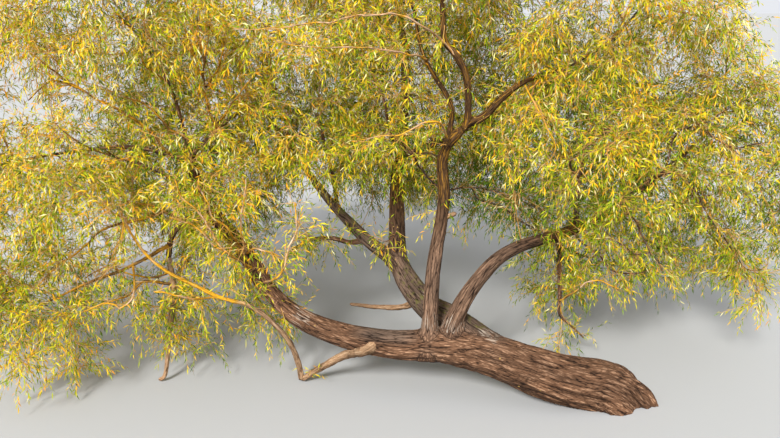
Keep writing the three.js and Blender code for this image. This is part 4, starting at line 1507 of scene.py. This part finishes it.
# Each wood's colours, in the furrows, on the body, on the ridges and where it is old, and how fine it is
WOODS = {
    "bark": bark_material("bark", (0.014, 0.007, 0.004), (0.16, 0.079, 0.04), (0.42, 0.245, 0.145),
        (0.155, 0.107, 0.077), 1.0),
    "pale": bark_material("pale_wood", (0.13, 0.075, 0.038), (0.4, 0.24, 0.13), (0.58, 0.4, 0.25),
        (0.42, 0.29, 0.18), 1.4),
    "ochre": bark_material("ochre_wood", (0.55, 0.26, 0.02), (0.95, 0.5, 0.025), (0.97, 0.64, 0.13),
        (0.82, 0.58, 0.38), 1.4),
    "brown": bark_material("brown_wood", (0.08, 0.04, 0.012), (0.3, 0.165, 0.05), (0.5, 0.3, 0.1),
        (0.85, 0.43, 0.02), 1.4),
}
TWIG = plain_material("twigs", (0.3, 0.15, 0.045), roughness=0.7, specular=0.2)
STEM = plain_material("stems", (0.58, 0.32, 0.09), roughness=0.6, specular=0.2)


def finished(piece, material, nodes=()):
    """Gives a piece its material and its body, and hides the nodes that it stands for."""
    piece.data.materials.clear()
    piece.data.materials.append(material)
    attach(piece, "root")
    if nodes:
        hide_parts(*nodes)


# Stage

FLOOR_SIDE = 300
FLOOR_COLOUR = (0.47, 0.47, 0.46)
SUN_PLACE = (-3.6, -8, 6.8)
SUN_STRENGTH = 4.2
SUN_ANGLE = math.radians(14)
SKY_COLOUR = (0.93, 0.95, 1, 1)
SKY_STRENGTH = 0.88


def make_camera():
    data = bpy.data.cameras.new("camera")
    data.sensor_width = SENSOR
    data.lens = SENSOR * FOCAL_LENGTH / PICTURE_WIDTH
    data.clip_end = 500
    camera = placed("camera", data)
    camera.location = CAMERA_PLACE
    camera.rotation_euler = (math.pi / 2 - CAMERA_TILT, 0, 0)
    bpy.context.scene.camera = camera


def make_sun():
    """One large soft sun, which shines from its place to the origin."""
    data = bpy.data.lights.new("key", "SUN")
    data.energy = SUN_STRENGTH
    data.angle = SUN_ANGLE
    sun = placed("key", data)
    sun.location = SUN_PLACE
    sun.rotation_euler = sun.location.to_track_quat("Z", "Y").to_euler()


def make_stage():
    half = FLOOR_SIDE / 2
    corners = [(-half, -half, 0), (half, -half, 0), (half, half, 0), (-half, half, 0)]
    floor = mesh_object("floor", corners, [[0, 1, 2, 3]])
    floor.data.materials.append(plain_material("floor", FLOOR_COLOUR, roughness=0.9, specular=0.2))
    make_sun()
    world = bpy.data.worlds.new("studio")
    world.use_nodes = True
    background = world.node_tree.nodes["Background"]
    background.inputs["Color"].default_value = SKY_COLOUR
    background.inputs["Strength"].default_value = SKY_STRENGTH
    bpy.context.scene.world = world
    bpy.context.scene.view_settings.view_transform = "Standard"


# Assembly


def with_look(items, *looks):
    return [item for item in items if item.limb.look in looks]


def add_limbs(inner, slender):
    """The limbs that stand for solids, then the stub, the hidden boughs and the thin branches."""
    solid = list(SAMPLED.values())
    thin = [item for item in solid if item.name in UNWELDED]
    stout = [item for item in with_look(solid, "bark") if item.name not in UNWELDED]
    stubs = [sampled(item) for item in STUBS]
    finished(bark_piece(stout), WOODS["bark"], ["trunk", *(item.name for item in stout)])
    # Each piece: its name, its limbs, their sides, how grey they are where old, their wood and their slot
    for name, items, sides, grey, look, slot in (
        ("thin_limbs", thin, 12, 0.5, "bark", "bark"),
        ("bare_limbs", with_look(solid, "pale"), 12, 0.2, "pale", "pale_wood"),
        ("arching_branch", with_look(solid, "ochre"), 12, 1.0, "ochre", "pale_wood"),
        ("stubs", stubs, 8, 0.0, "pale", "pale_wood"),
        ("inner_boughs", with_look(inner, "bark"), 7, 0.7, "bark", "bark"),
        ("inner_stem", with_look(inner, "pale"), 7, 0.7, "pale", "pale_wood"),
        ("inner_branch", with_look(inner, "brown"), 7, 0.7, "brown", "bark"),
        ("dark_branches", with_look(slender, "bark"), 6, 1.0, "bark", "bark"),
        ("brown_branches", with_look(slender, "brown"), 6, 1.0, "brown", "bark"),
        ("ochre_branches", with_look(slender, *IN_FRONT), 6, 1.0, "ochre", "bark"),
    ):
        piece = thin_limbs_piece(name, items, sides, grey)
        finished(piece, WOODS[look], [item.name for item in items if item.name in SAMPLED])


def add_branches(place, radius, chains, side_runs):
    """The grown branches as tubes. Gives each node's smoothed place and that of the node before it."""
    smoothed = place.copy()
    before = place.copy()
    thick, thin = [], []
    for run in chains:
        points = relaxed(place[run])
        smoothed[run[1:]] = points[1:]
        before[run[1:]] = points[:-1]
        sizes = radius[run]
        sizes[0] = sizes[1]
        (thick if sizes[1] > THICK_TWIG else thin).append((points, sizes))
    for runs in side_runs:
        thin += runs
    for piece in triangle_pieces("branches", *twig_arrays(thick, sides=6)):
        piece.data.shade_smooth()
        finished(piece, TWIG)
    for piece in triangle_pieces("twigs", *twig_arrays(thin, sides=3)):
        finished(piece, STEM)
    return smoothed, before


def crown_shoots(skin, grown, smoothed, before, way, radius, chain_of):
    """Shoots on the slim branches, fewer deep in the crown and more at its right."""
    inside = smoothstep(depth_inside(skin, smoothed[grown]), *SHOOTS_INSIDE)
    right = smoothstep(smoothed[grown, 0], *RIGHT_SIDE)
    weight = (radius[grown] < SHOOTS_ON) * (1 + FEWEST_INSIDE - inside) * (1 + MORE_ON_RIGHT * right)
    picked = np.sort(grown[rng.choice(len(grown), CROWN_SHOOTS, p=weight / weight.sum())])
    share = rng.random((CROWN_SHOOTS, 1))
    starts = before[picked] * (1 - share) + smoothed[picked] * share
    least, most = SHOOT_LENGTH
    length = least + (most - least) * rng.random(CROWN_SHOOTS) ** LONG_SHOOTS_RARE
    return grow_shoots(starts, way[picked], chain_of[picked], length, skin)


def bare_wood_shoots(slender, side_runs, spray_place):
    """Short shoots on the thin branches, their side twigs and the limbs. Each of them is a spray."""
    starts, ways, sprays = [], [], []
    for item, runs in zip(slender, side_runs):
        leafy = np.arange(int(LEAFY_FROM * len(item.centre)), len(item.centre), 2)
        starts += [item.centre[leafy], *(points[2:] for points, _ in runs)]
        ways += [item.tangent[leafy], *(np.diff(points, axis=0)[1:] for points, _ in runs)]
        sprays.append(np.full(len(leafy) + (SIDE_TWIG_STEPS - 1) * len(runs), len(spray_place)))
        spray_place.append(item.centre[-1])
    for name, (bare, count) in LIMB_SHOOTS.items():
        start, out = limb_shoot_starts(SAMPLED[name], bare, count)
        starts.append(start)
        ways.append(out)
        sprays.append(np.full(count, len(spray_place)))
        spray_place.append(start.mean(0))
    starts = np.vstack(starts)
    length = rng.uniform(*LIMB_SHOOT_LENGTH, len(starts))
    return grow_shoots(starts, np.vstack(ways), np.concatenate(sprays), length)


def all_shoots(long, short):
    """Both sets of shoots as one. The short ones' rows are filled up."""
    filling = np.zeros((len(short.points), long.points.shape[1] - short.points.shape[1], 3))
    points = np.vstack([long.points, np.hstack([short.points, filling])])
    return Shoots(points, np.r_[long.count, short.count], np.r_[long.spray, short.spray])


def add_foliage(shoots, spray_place, skin, shown):
    """The shoots' stems and their leaves, a piece for each tint. The first one stands for the masses."""
    leaves = leaves_on(shoots)
    hiding = before_limbs(leaves, shown)
    leaves = picked_leaves(leaves, ~hiding)
    for piece in triangle_pieces("stems", *shoot_ribbons(shoots)):
        finished(piece, STEM)
    tints = tint_numbers(leaves, spray_place, depth_inside(skin, leaves.base))
    stands_for = MASS_NAMES
    for number, (name, colour) in enumerate([*LEAF_TINTS, PALE_TINT]):
        some = picked_leaves(leaves, tints == number)
        material = plain_material(f"leaf_{name}", colour, roughness=0.55, specular=0.06)
        for piece in triangle_pieces(f"leaves_{name}", *leaf_arrays(some)):
            finished(piece, material, stands_for)
            stands_for = ()


make_camera()
make_stage()
inner = [sampled(item) for item in INNER_BOUGHS]
slender = thin_branches(inner)
add_limbs(inner, slender)

skin, *skin_box = crown_skin()
nodes = limb_nodes(skin, inner)
first_grown = len(nodes)
colonise(nodes, growth_targets(skin, *skin_box))
grown = np.arange(first_grown, len(nodes))
place, parent, way, fixed, _ = (np.array(field) for field in zip(*nodes))
radius = branch_radii(parent, fixed)
chains, chain_of = branch_chains(parent, fixed, radius)
side_runs = [side_twigs(item) for item in slender]
smoothed, before = add_branches(place, radius, chains, side_runs)

spray_place = [place[run[-1]] for run in chains]
crown = crown_shoots(skin, grown, smoothed, before, way, radius, chain_of)
shoots = all_shoots(crown, bare_wood_shoots(slender, side_runs, spray_place))
shown = [(item, SHOWN[item.name]) for item in [*SAMPLED.values(), *inner] if item.name in SHOWN]
shown += [(item, SHOWN.get(item.name, SHOWN[item.limb.look])) for item in slender]
add_foliage(shoots, np.array(spray_place), skin, shown)
